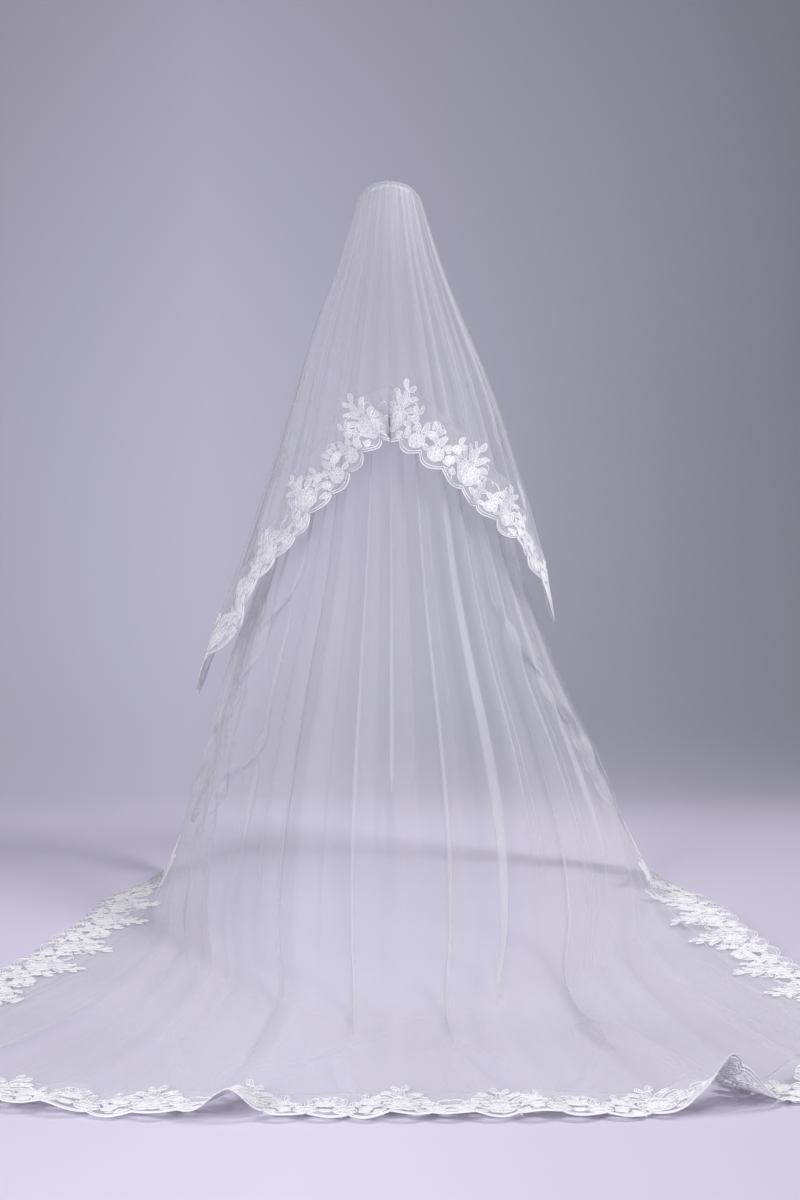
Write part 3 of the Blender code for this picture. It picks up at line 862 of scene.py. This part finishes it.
def on_ribbon(ribbon, flat):
    """Seam point, plus outwards times the reach, plus the curl times the reach squared, plus upwards times
    the ruffle and the height above the net. flat has along, reach and height as its last axis. The reach
    shrinks with the border's size where it tapers away, and a reach below zero lies on the panel."""
    along, reach, height = flat[..., 0], flat[..., 1], flat[..., 2]
    size = np.interp(along, ribbon["at"], ribbon["size"])
    reach = reach * size
    outer = np.maximum(reach, 0)
    share = np.clip(outer / LACE_WIDTH, 0, RIBBON_OVERREACH)
    seam, up, outward, curl = (
        resample(along.ravel(), ribbon["at"], ribbon[key].T).reshape(flat.shape)
        for key in ("seam", "up", "outward", "curl")
    )
    bend = np.interp(along, ribbon["at"], ribbon["ruffle"]) * share**2
    points = seam + outward * outer[..., None] + curl * (outer**2)[..., None] + up * bend[..., None]
    points[..., 2] += np.interp(along, ribbon["at"], ribbon["lift"]) * share**2
    points[..., 2] = np.maximum(points[..., 2], FLOOR_CLEARANCE - CROWN_HEIGHT)
    inner = reach < 0
    places, steps = (resample(along[inner], ribbon["at"], ribbon[key].T) for key in ("places", "inward"))
    places = places - steps * reach[inner][:, None]
    points[inner] = ribbon["surface"](places[:, 0], places[:, 1])
    return points + up * height[..., None]


def scallop_edge(along):
    """The border's width: full at the tip of each lobe, and a scallop's depth less where two lobes meet."""
    lobes = np.abs(np.sin(np.pi * along / SCALLOP_PITCH)) ** LOBE_POWER
    return LACE_WIDTH + SCALLOP_DEPTH * (lobes - 1)


LONG_RIBBON = make_ribbon(long_surface, long_hem, LONG_LACE_FROM, LONG_CURL, True, LONG_RUFFLED)
SHORT_RIBBON = make_ribbon(short_surface, short_hem, SHORT_LACE_FROM, SHORT_CURL, False, SHORT_RUFFLED)
for ribbon in (LONG_RIBBON, SHORT_RIBBON):
    print("border", round(ribbon["length"], 2), "m")

# %% [markdown]
# The ground of the lace is a strip of closer net. It reaches from the seam to the scalloped edge, with
# rows that follow the scallops.

# %% The lace grounds
GROUND_ROWS = 8


def make_ground(name, ribbon):
    """A strip of net: each row is a share of the way from the seam to the scalloped edge."""
    along = np.repeat(ribbon["at"][None, :], GROUND_ROWS + 1, axis=0)
    share = np.linspace(0, 1, GROUND_ROWS + 1)[:, None]
    flat = np.stack([along, share * scallop_edge(along), np.zeros_like(along)], axis=-1)
    quads = grid_quads(GROUND_ROWS + 1, len(ribbon["at"]))[:, ::-1]
    return piece_from_arrays(name, on_ribbon(ribbon, flat), quads, flat[..., :2], LACE_GROUND)


long_ground = make_ground("long_lace_net", LONG_RIBBON)
short_ground = make_ground("short_lace_net", SHORT_RIBBON)

# %% [markdown]
# ## The motifs
#
# The flowers and leaves are drawn once, flat, from formulas, and repeated along the border. A cord is a
# small raised ridge along a path, and clothwork is a slightly domed patch inside a closed path. The
# layout is a plain garden one: a full rose, smaller flowers, sprays of leaves and curling stems.

# %% Cords and patches on the flat
CORD_STEEPNESS = 8 / 7
CORD_FOOT = 0.0002
CORD_END_ANGLE = 0.06
CORD_END_POWER = 0.35
CLOTHWORK_HEIGHT = 0.0005
PATCH_RINGS = (0.96, 0.5, 0.02)
PATCH_DOME = 1.2
PETAL_MIDDLE = 0.57
PETAL_REACH = 0.43
PETAL_NOTCH = 0.05
PETAL_NARROWING = 0.35
LEAF_POINT_POWER = 0.25


def turned(points, angle, place):
    """Flat points turned by an angle and moved to a place."""
    cosine, sine = np.cos(angle), np.sin(angle)
    x, y = points[..., 0], points[..., 1]
    return np.stack([cosine * x - sine * y + place[0], sine * x + cosine * y + place[1]], axis=-1)


def cord(path, half_width, closed):
    """Three lines beside and above the path, which close to a ridge. An open cord thins out at both ends.
    Returns (points as stations by three, whether the path closes)."""
    if closed:
        step = np.roll(path, -1, axis=0) - np.roll(path, 1, axis=0)
        size = np.ones(len(path))
    else:
        step = np.gradient(path, axis=0)
        size = np.sin(np.linspace(CORD_END_ANGLE, np.pi - CORD_END_ANGLE, len(path))) ** CORD_END_POWER
    aside = unit(np.stack([-step[:, 1], step[:, 0]], axis=-1)) * (half_width * size)[:, None]
    low = np.full(len(path), CORD_FOOT)
    high = CLOTHWORK_HEIGHT + CORD_STEEPNESS * size * half_width
    lines = [(path - aside, low), (path, high), (path + aside, low)]
    return np.stack([np.concatenate([line, h[:, None]], axis=1) for line, h in lines], axis=1), closed


def patch(path, middle):
    """A fan of rings from the outline in to the middle, highest in the middle."""
    rings = []
    for share in PATCH_RINGS:
        ring = middle + (path - middle) * share
        height = np.full((len(path), 1), CLOTHWORK_HEIGHT * (1 + PATCH_DOME * (1 - share**2)))
        rings.append(np.concatenate([ring, height], axis=1))
    return np.stack(rings, axis=1), True


def petal_outline(length, half_width, steps=12):
    """A closed drop: narrow at the root and broad and slightly notched at the tip."""
    t = np.linspace(0, 2 * np.pi, steps, endpoint=False)
    notch = PETAL_NOTCH * np.cos(t) ** 6 * (np.cos(t) < 0)
    along = length * (PETAL_MIDDLE - PETAL_REACH * np.cos(t) - notch)
    aside = half_width * np.sin(t) * (1 - PETAL_NARROWING * np.cos(t))
    return np.stack([along, aside], axis=-1)


def bow(length, bend, share):
    """How far a leaf's middle line stands to one side: a parabola along its length."""
    return bend * length * share * (1 - share) * 4


def leaf_outline(length, half_width, bend, steps=12):
    """A closed leaf with two points, bent to one side: its half width is a sine along its length."""
    t = np.linspace(0, 2 * np.pi, steps, endpoint=False)
    share = (1 - np.cos(t)) / 2
    aside = half_width * np.sin(t) * np.abs(np.sin(t)) ** LEAF_POINT_POWER + bow(length, bend, share)
    return np.stack([length * share, aside], axis=-1)


# %% Flowers, leaves and stems
CORD_HALF_WIDTH = 0.0015
FINE_CORD = 0.8 * CORD_HALF_WIDTH
STEM_CORD = 0.9 * CORD_HALF_WIDTH
HEART_CORD = 1.2 * CORD_HALF_WIDTH
HEART_SHARE = 0.20
PETAL_SPREAD = 0.84
PETAL_CENTRE = 0.62
PETAL_INSIDE = 0.5
INNER_RING = 0.52
INNER_TURN = 0.4
LEAF_STITCHES = 8
LEAF_STITCH_ENDS = (0.08, 0.88)
LEAF_STITCH_SWING = 0.42


def flower(place, radius, petals, turn, inner_petals=0):
    """Petals in a ring, each with a smaller cord inside its outline, round a second ring or a heart."""
    cords, patches = [], []
    width = radius * np.sin(np.pi / petals) * PETAL_SPREAD
    for number in range(petals):
        angle = turn + 2 * np.pi * number / petals
        outline = turned(petal_outline(radius, width), angle, place)
        middle = turned(np.array([PETAL_CENTRE * radius, 0.0]), angle, place)
        cords.append(cord(outline, CORD_HALF_WIDTH, True))
        cords.append(cord(middle + (outline[::2] - middle) * PETAL_INSIDE, FINE_CORD, True))
        patches.append(patch(outline, middle))
    if inner_petals:
        inside = flower(place, radius * INNER_RING, inner_petals, turn + INNER_TURN)
        return cords + inside[0], patches
    ring = np.linspace(0, 2 * np.pi, 8, endpoint=False)
    heart = np.stack([np.cos(ring), np.sin(ring)], axis=-1) * radius * HEART_SHARE + np.array(place)
    cords.append(cord(heart, HEART_CORD, True))
    return cords, patches


def leaf(across_border, reach, length, half_width, degrees, bend):
    """A leaf with a cord round it and a zigzag of thread down its middle."""
    place, turn = (across_border, reach), np.radians(degrees)
    outline = turned(leaf_outline(length, half_width, bend), turn, place)
    share = np.linspace(*LEAF_STITCH_ENDS, LEAF_STITCHES)
    side = np.where(np.arange(LEAF_STITCHES) % 2, 1, -1)
    swing = side * half_width * LEAF_STITCH_SWING * np.sin(np.pi * share)
    zigzag = turned(np.stack([length * share, bow(length, bend, share) + swing], axis=-1), turn, place)
    middle = turned(np.array([0.5 * length, bend * length]), turn, place)
    return [cord(outline, CORD_HALF_WIDTH, True), cord(zigzag, FINE_CORD, False)], [patch(outline, middle)]


def stem(across_border, reach, length, degrees, curl, steps=13):
    """A stem whose direction turns faster and faster, so that it ends in a curl."""
    share = np.linspace(0, 1, steps)
    heading = np.radians(degrees) + curl * share**2
    step = np.stack([np.cos(heading), np.sin(heading)], axis=-1) * length / (steps - 1)
    path = np.cumsum(step, axis=0) - step[0] + np.array((across_border, reach))
    return [cord(path, STEM_CORD, False)], []


# %% [markdown]
# One repeat is three scallops long. A full rose stands under a tall spray of leaves, two smaller flowers
# stand between, and every second repeat is mirrored, so the pattern doesn't march. The spray climbs from
# the border onto the tulle, which is how such lace melts into the cloth.

# %% One repeat of the pattern
REPEAT = 3 * SCALLOP_PITCH
# Each row has its place, radius, petals, turn and inner petals.
FLOWERS = (
    ((0.085, 0.083), 0.036, 7, 0.30, 5),
    ((0.184, 0.103), 0.022, 6, 0.90, 0),
    ((0.026, 0.112), 0.018, 5, 0.20, 0),
    ((0.146, 0.060), 0.013, 5, 0.60, 0),
    ((0.147, 0.096), 0.012, 5, 0.10, 0),
    ((0.212, 0.070), 0.012, 5, 0.80, 0),
)
# Each row has along, reach, length, half width, degrees and bend.
LEAVES = (
    (0.085, 0.046, 0.044, 0.0090, -90, 0.10),
    (0.076, 0.050, 0.038, 0.0085, -124, 0.14),
    (0.094, 0.050, 0.038, 0.0085, -56, -0.14),
    (0.085, 0.006, 0.030, 0.0070, -104, -0.12),
    (0.090, 0.008, 0.024, 0.0060, -60, 0.12),
    (0.064, 0.060, 0.032, 0.0080, -158, 0.14),
    (0.106, 0.060, 0.032, 0.0075, -24, -0.14),
    (0.050, 0.088, 0.026, 0.0070, 176, 0.12),
    (0.120, 0.084, 0.028, 0.0075, 8, -0.12),
    (0.062, 0.114, 0.024, 0.0065, 150, 0.10),
    (0.112, 0.112, 0.026, 0.0065, 32, -0.10),
    (0.146, 0.046, 0.026, 0.0060, -88, 0.14),
    (0.140, 0.050, 0.022, 0.0055, -140, 0.14),
    (0.184, 0.080, 0.034, 0.0075, -92, 0.12),
    (0.175, 0.084, 0.028, 0.0070, -134, 0.14),
    (0.195, 0.084, 0.028, 0.0070, -46, -0.14),
    (0.206, 0.104, 0.022, 0.0060, 4, 0.10),
    (0.160, 0.108, 0.020, 0.0055, 168, 0.10),
    (0.026, 0.092, 0.032, 0.0070, -84, -0.12),
    (0.020, 0.096, 0.026, 0.0065, -142, 0.14),
    (0.034, 0.096, 0.022, 0.0060, -38, -0.14),
    (0.008, 0.114, 0.018, 0.0050, 168, 0.10),
    (0.050, 0.068, 0.024, 0.0060, -150, -0.14),
    (0.122, 0.066, 0.020, 0.0055, -10, 0.14),
    (0.066, 0.024, 0.022, 0.0055, -150, 0.14),
    (0.104, 0.028, 0.022, 0.0055, -30, -0.14),
    (0.204, 0.058, 0.024, 0.0055, -108, 0.12),
    (0.216, 0.056, 0.020, 0.0050, -66, -0.12),
    (0.133, 0.108, 0.018, 0.0050, 130, 0.12),
    (0.160, 0.086, 0.018, 0.0050, -70, -0.12),
)
# Each row has along, reach, length, degrees and curl.
STEMS = (
    (0.118, 0.098, 0.060, -62, -2.8),
    (0.052, 0.100, 0.056, -118, 2.8),
    (0.150, 0.122, 0.050, 190, -2.2),
    (0.186, 0.050, 0.050, -60, 2.6),
    (0.026, 0.062, 0.046, -112, -2.6),
    (0.104, 0.036, 0.040, -40, 2.6),
    (0.066, 0.036, 0.040, -140, -2.6),
)


def collect(motifs):
    """The cords of all the motifs, and their patches."""
    cords = [piece for motif in motifs for piece in motif[0]]
    patches = [piece for motif in motifs for piece in motif[1]]
    return cords, patches


FLOWER_SHAPES = collect([flower(*row) for row in FLOWERS])
LEAF_SHAPES = collect([leaf(*row) for row in LEAVES] + [stem(*row) for row in STEMS])
print(len(FLOWER_SHAPES[0]) + len(LEAF_SHAPES[0]), "cords in a repeat")

# %% Repeats along a border
PATTERN_SHIFT = 0.004
PATTERN_SHIFT_WAVES = 9.0


def repeated(ribbon, shapes, wrap_across):
    """Every shape copied to all the repeats and carried onto the ribbon. Every second copy is mirrored, and
    its quads are turned round so that they still face outwards. A slow wave shifts the copies in and out."""
    count = int(ribbon["length"] / REPEAT)
    slack = (ribbon["length"] - count * REPEAT) / 2
    points, quads, cuts, used = [], [], [], 0
    for side in (1, -1):
        starts = slack + REPEAT * np.arange(count)[(0 if side > 0 else 1) :: 2] + (REPEAT if side < 0 else 0)
        for grid, closed in shapes:
            flat = np.broadcast_to(grid, (len(starts), *grid.shape)).copy()
            flat[..., 0] = starts[:, None, None] + side * flat[..., 0]
            flat[..., 1] -= PATTERN_SHIFT * (1 + np.sin(PATTERN_SHIFT_WAVES * starts))[:, None, None]
            carried = on_ribbon(ribbon, flat)
            one = grid_quads(grid.shape[0], grid.shape[1], closed, wrap_across)
            if side < 0:
                one = one[:, ::-1]
            size = grid.shape[0] * grid.shape[1]
            each = used + size * np.arange(len(starts))[:, None, None] + one[None]
            points.append(carried.reshape(-1, 3))
            quads.append(each.reshape(-1, 4))
            cuts.append(flat[..., :2].reshape(-1, 2))
            used += size * len(starts)
    return np.concatenate(points), np.concatenate(quads), np.concatenate(cuts)


def make_motifs(prefix, ribbon):
    """The flowers' cords, the leaves' cords and the clothwork of one border."""
    kinds = (
        ("_flower_cords", FLOWER_SHAPES[0], True, CORD_THREAD),
        ("_leaf_cords", LEAF_SHAPES[0], True, CORD_THREAD),
        ("_clothwork", FLOWER_SHAPES[1] + LEAF_SHAPES[1], False, SATIN_THREAD),
    )
    pieces = []
    for end, shapes, tube, cloth in kinds:
        pieces.append(piece_from_arrays(prefix + end, *repeated(ribbon, shapes, tube), cloth))
    return pieces


long_flowers, long_leaves, long_clothwork = make_motifs("long_lace", LONG_RIBBON)
short_flowers, short_leaves, short_clothwork = make_motifs("short_lace", SHORT_RIBBON)

# %% [markdown]
# The scalloped edge is finished with a thicker cord, with a finer one inside it, and a row of zigzag
# stitches joins the border to the tulle. All are paths on the same ribbon.

# %% Edge cords and seam stitches
EDGE_INSET = 0.001
EDGE_CORD_HALF_WIDTH = 0.0019
EDGE_CORD_PITCH = 0.004
INNER_EDGE_INSET = 0.0085
ZIGZAG_PITCH = 0.004
ZIGZAG_WIDTH = 0.0016
ZIGZAG_REACH = 0.002
STITCH_HALF_WIDTH = 0.0004


def path_on_ribbon(name, ribbon, along, reach, half_width, material):
    """One long cord: a flat path of along and reach, made a ridge and carried onto the ribbon."""
    grid, closed = cord(np.stack([along, reach], axis=-1), half_width, False)
    quads = grid_quads(grid.shape[0], grid.shape[1], closed, True)
    return piece_from_arrays(name, on_ribbon(ribbon, grid), quads, grid[..., :2], material)


def make_edge_cord(name, ribbon, inset, half_width):
    """The cord follows the scallops, inside the net's edge."""
    along = np.linspace(0, ribbon["length"], int(ribbon["length"] / EDGE_CORD_PITCH))
    return path_on_ribbon(name, ribbon, along, scallop_edge(along) - inset, half_width, CORD_THREAD)


def make_seam_stitches(name, ribbon):
    """A zigzag across the seam, one stitch each way every 4 mm."""
    along = np.arange(0, ribbon["length"], ZIGZAG_PITCH / 2)
    reach = ZIGZAG_REACH + ZIGZAG_WIDTH * np.where(np.arange(len(along)) % 2, 1, -1)
    return path_on_ribbon(name, ribbon, along, reach, STITCH_HALF_WIDTH, SEWING_THREAD)


long_edge = make_edge_cord("long_lace_edge_cord", LONG_RIBBON, EDGE_INSET, EDGE_CORD_HALF_WIDTH)
short_edge = make_edge_cord("short_lace_edge_cord", SHORT_RIBBON, EDGE_INSET, EDGE_CORD_HALF_WIDTH)
long_inner_edge = make_edge_cord("long_lace_inner_cord", LONG_RIBBON, INNER_EDGE_INSET, CORD_HALF_WIDTH)
short_inner_edge = make_edge_cord("short_lace_inner_cord", SHORT_RIBBON, INNER_EDGE_INSET, CORD_HALF_WIDTH)
long_stitches = make_seam_stitches("long_seam_stitches", LONG_RIBBON)
short_stitches = make_seam_stitches("short_seam_stitches", SHORT_RIBBON)

# %% [markdown]
# ## The comb
#
# The tulle is gathered onto the comb's spine, bound with a narrow satin ribbon that winds round it, and
# sewn down. The ribbon's turns are ridges along the tube. The comb itself keeps its CAD shape and gets a
# clear plastic finish.

# %% The binding and the comb
PLASTIC_PATCHES = 90.0
SPINE_HALF_WIDTH = 0.053
SPINE_DROP = 0.014
SPINE_HALF_COMB = 0.050
BINDING_MIDDLE = (0.0055, 0.0006)
BINDING_RADII = (0.0062, 0.0036)
BINDING_TURNS = 17
BINDING_SIZE = 0.90
BINDING_RISE = 0.13
BINDING_END_SIZE = 0.05
BINDING_TAPER = 14
BINDING_WIDTH = 0.006
BINDING_STEPS = (240, 20)


def make_binding():
    """A flattened tube along the comb's curve. Its size rises over each turn of the ribbon and drops at the
    next one, and a slant in the turn makes the ribbon wind."""
    along = np.linspace(-1, 1, BINDING_STEPS[0])[:, None]
    angle = np.linspace(0, 2 * np.pi, BINDING_STEPS[1], endpoint=False)[None, :]
    winding = (along * BINDING_TURNS / 2 + angle / (2 * np.pi)) % 1
    taper = np.minimum(1, BINDING_TAPER * (1 - np.abs(along)) + BINDING_END_SIZE)
    size = (BINDING_SIZE + BINDING_RISE * winding**0.5) * taper
    x = SPINE_HALF_WIDTH * along + 0 * angle
    y = BINDING_MIDDLE[0] - BINDING_RADII[0] * size * np.cos(angle)
    z = BINDING_MIDDLE[1] + BINDING_RADII[1] * size * np.sin(angle) - SPINE_DROP * (x / SPINE_HALF_COMB) ** 2
    points = np.stack([x, y, z], axis=-1)
    cut = np.stack([x, BINDING_WIDTH * (angle + 0 * along)], axis=-1)
    quads = grid_quads(*BINDING_STEPS, False, True)
    return piece_from_arrays("comb_binding", points, quads, cut, BINDING_CLOTH)


def clear_plastic():
    """Moulded plastic: mostly clear, with faint flow lines and a little haze."""
    material, tree, shader = new_material("comb_plastic", 0.18, 0.0)
    place = add_node(tree, "ShaderNodeTexCoord", (-900, 0)).outputs["Object"]
    flow = variation(tree, (-650, 0), place, 0.0, PLASTIC_PATCHES)
    colour = tint_by(tree, flow, (0.78, 0.78, 0.81), (0.90, 0.90, 0.92), (-350, 150))
    haze = map_range(tree, (-350, -100), flow, {"To Min": 0.12, "To Max": 0.30})
    feed(tree, shader, {"Base Color": colour, "Roughness": haze, "Coat Weight": 0.4, "Alpha": 0.55})
    return material


comb_binding = make_binding()
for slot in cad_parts["crown_comb"].material_slots:
    slot.material = clear_plastic()

# %% [markdown]
# ## What stands for what
#
# Every piece rides on the model's one body. Each tulle panel and each lace border replaces its solid.

# %% Rides and replaced solids
LONG_LACE = [long_ground, long_flowers, long_leaves, long_clothwork, long_edge, long_inner_edge]
SHORT_LACE = [short_ground, short_flowers, short_leaves, short_clothwork, short_edge, short_inner_edge]
TIERS = (
    ([long_tulle], "long_tier_tulle", "tulle"),
    ([short_tulle], "short_tier_tulle", "tulle"),
    (LONG_LACE, "long_tier_lace", "lace"),
    (SHORT_LACE, "short_tier_lace", "lace"),
)
for pieces, node, slot_name in TIERS:
    for piece in pieces:
        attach(piece, "root")
        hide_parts(node)
for piece in (long_stitches, short_stitches, comb_binding):
    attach(piece, "root")

# %% [markdown]
# ## The studio
#
# A paper sweep makes the floor and the wall one surface. Its colour holds painted light and shade: lighter
# on the left and darker on the right and at the top, as such paper looks when the lamp stands on the right,
# with the wall painted darker than the floor. From behind it is see-through, so that it doesn't hide the veil
# in other views.

# %% The paper sweep
FLOOR_LEVEL = -1.7806
SWEEP_HALF_WIDTH = 14.0
SWEEP_FRONT = -16.0
SWEEP_BEND_START = 1.1
SWEEP_BEND_RADIUS = 1.3
SWEEP_TOP = 7.0
SWEEP_STEPS = 24
FLOOR_STEPS = 20
WALL_REACH = 1.5
# The wall and floor tints hold painted light and shade: lighter on the left, darker on the right, the wall
# darker than the floor and darker still towards its top.
WALL_SHADE_HEIGHTS = (-0.5, 1.5)
WALL_TOP_SHADE = 0.62
FLOOR_TO_WALL = (0.4, 1.8)
WALL_PAINTED_BRIGHTEST = 0.27
WALL_TINTS_WITH_PAINTED_SHADE = ((0.405, 0.40, 0.465), (0.48, 0.47, 0.555), (0.187, 0.197, 0.227))
FLOOR_PAINTED_BRIGHTEST = 0.45
FLOOR_TINTS_WITH_PAINTED_SHADE = ((0.63, 0.60, 0.71), (0.71, 0.675, 0.80), (0.445, 0.42, 0.505))


def graded(tree, value, middle, tints, place):
    """A colour that runs through three tints, with the second where the value is at its middle."""
    ramp = add_node(tree, "ShaderNodeValToRGB", place, {"Fac": value})
    ramp.color_ramp.elements.new(middle)
    for stop, tint in zip(ramp.color_ramp.elements, tints):
        stop.color = (*tint, 1)
    return ramp.outputs["Color"]


def sweep_paper():
    """Paper graded by its own place, with painted light and shade in its colour, and open from behind."""
    material, tree, shader = new_material("studio_paper_painted_shade", 0.85, 0.0)
    place = add_node(tree, "ShaderNodeTexCoord", (-1300, 0)).outputs["Object"]
    parts = add_node(tree, "ShaderNodeSeparateXYZ", (-1100, 0), {0: place}).outputs
    # Painted shade: the colour darkens across to the right, and on the wall towards the top.
    across = map_range(tree, (-850, 250), parts["X"], {"From Min": -WALL_REACH, "From Max": WALL_REACH})
    ends = {"From Min": WALL_SHADE_HEIGHTS[0], "From Max": WALL_SHADE_HEIGHTS[1], "To Min": 1.0, "To Max": WALL_TOP_SHADE}
    upwards = map_range(tree, (-850, 0), parts["Z"], ends)
    inputs = {0: graded(tree, across, WALL_PAINTED_BRIGHTEST, WALL_TINTS_WITH_PAINTED_SHADE, (-650, 350)), "Scale": upwards}
    wall = add_node(tree, "ShaderNodeVectorMath", (-350, 250), inputs, operation="SCALE")
    ends = {"From Min": FLOOR_TO_WALL[0], "From Max": FLOOR_TO_WALL[1]}
    inputs = {
        "Factor": map_range(tree, (-850, -250), parts["Y"], ends, "SMOOTHSTEP"),
        "A": graded(tree, across, FLOOR_PAINTED_BRIGHTEST, FLOOR_TINTS_WITH_PAINTED_SHADE, (-650, -50)),
        "B": wall.outputs["Vector"],
    }
    colour = add_node(tree, "ShaderNodeMix", (-150, 150), inputs, data_type="RGBA")
    fibre = add_node(tree, "ShaderNodeTexNoise", (-600, -400), {"Vector": place, "Scale": 60.0})
    inputs = {"Height": fibre.outputs["Fac"], "Distance": 0.001, "Strength": 0.1}
    grain = add_node(tree, "ShaderNodeBump", (-350, -400), inputs)
    feed(tree, shader, {"Base Color": colour.outputs["Result"], "Normal": grain.outputs["Normal"]})
    behind = add_node(tree, "ShaderNodeNewGeometry", (0, 300))
    clear = add_node(tree, "ShaderNodeBsdfTransparent", (0, -100))
    inputs = {"Fac": behind.outputs["Backfacing"], 1: shader.outputs[0], 2: clear.outputs[0]}
    blend = add_node(tree, "ShaderNodeMixShader", (300, 100), inputs)
    feed(tree, tree.nodes["Material Output"], {"Surface": blend.outputs[0]})
    return material


def make_sweep():
    """A profile of floor, quarter circle and wall, carried sideways."""
    turn = np.linspace(0, np.pi / 2, SWEEP_STEPS)
    bend_y = SWEEP_BEND_START + SWEEP_BEND_RADIUS * np.sin(turn)
    bend_z = FLOOR_LEVEL + SWEEP_BEND_RADIUS * (1 - np.cos(turn))
    floor_y = np.linspace(SWEEP_FRONT, SWEEP_BEND_START, FLOOR_STEPS, endpoint=False)
    y = np.concatenate([floor_y, bend_y, [bend_y[-1]]])
    z = np.concatenate([np.full(FLOOR_STEPS, FLOOR_LEVEL), bend_z, [SWEEP_TOP]])
    x = np.linspace(-SWEEP_HALF_WIDTH, SWEEP_HALF_WIDTH, 9)
    grid = np.stack(np.broadcast_arrays(x[None, :], y[:, None], z[:, None]), axis=-1)
    quads = grid_quads(len(y), len(x))
    return piece_from_arrays("studio_sweep", grid, quads, grid[..., :2], sweep_paper())


sweep = make_sweep()

# %% [markdown]
# A large lamp on the right models the folds. One in front, a little to the left, lights the lace that
# hangs towards the eye, a faint one stands overhead, and a pale sky lights the rest. Large lamps give soft
# shadows, which suit a cloth that you see through.

# %% Lamps and sky
# Each row has its name, place, target, width, power and colour.
LAMPS = (
    ("key_lamp", (4.2, -1.4, 2.4), (0.0, -0.6, -1.0), 2.2, 245, (1.0, 0.98, 1.0)),
    ("fill_lamp", (-3.2, -6.2, 0.4), (0.0, -0.4, -0.9), 3.0, 285, (0.96, 0.96, 1.0)),
    ("top_lamp", (0.0, -1.2, 3.4), (0.0, -1.0, -1.6), 3.0, 30, (0.98, 0.96, 1.0)),
)


def make_lamp(name, place, target, width, power, colour):
    """A square area lamp turned towards its target."""
    data = bpy.data.lights.new(name, "AREA")
    data.size = width
    data.energy = power
    data.color = colour
    lamp = bpy.data.objects.new(name, data)
    lamp.location = place
    way = lamp.location.copy()
    way.xyz = [end - start for end, start in zip(target, place)]
    lamp.rotation_euler = way.to_track_quat("-Z", "Y").to_euler()
    bpy.context.scene.collection.objects.link(lamp)


for lamp_row in LAMPS:
    make_lamp(*lamp_row)
sky = bpy.data.worlds.new("studio_sky")
sky.use_nodes = True
sky.node_tree.nodes["Background"].inputs["Color"].default_value = (0.80, 0.79, 0.90, 1)
sky.node_tree.nodes["Background"].inputs["Strength"].default_value = 0.35
bpy.context.scene.world = sky
bpy.context.scene.view_settings.view_transform = "Standard"
bpy.context.scene.cycles.transparent_max_bounces = 20
bpy.context.scene.cycles.max_bounces = 4
bpy.context.scene.cycles.diffuse_bounces = 2

# %% [markdown]
# Last, the view layer is brought up to date.

# %% The end
bpy.context.view_layer.update()
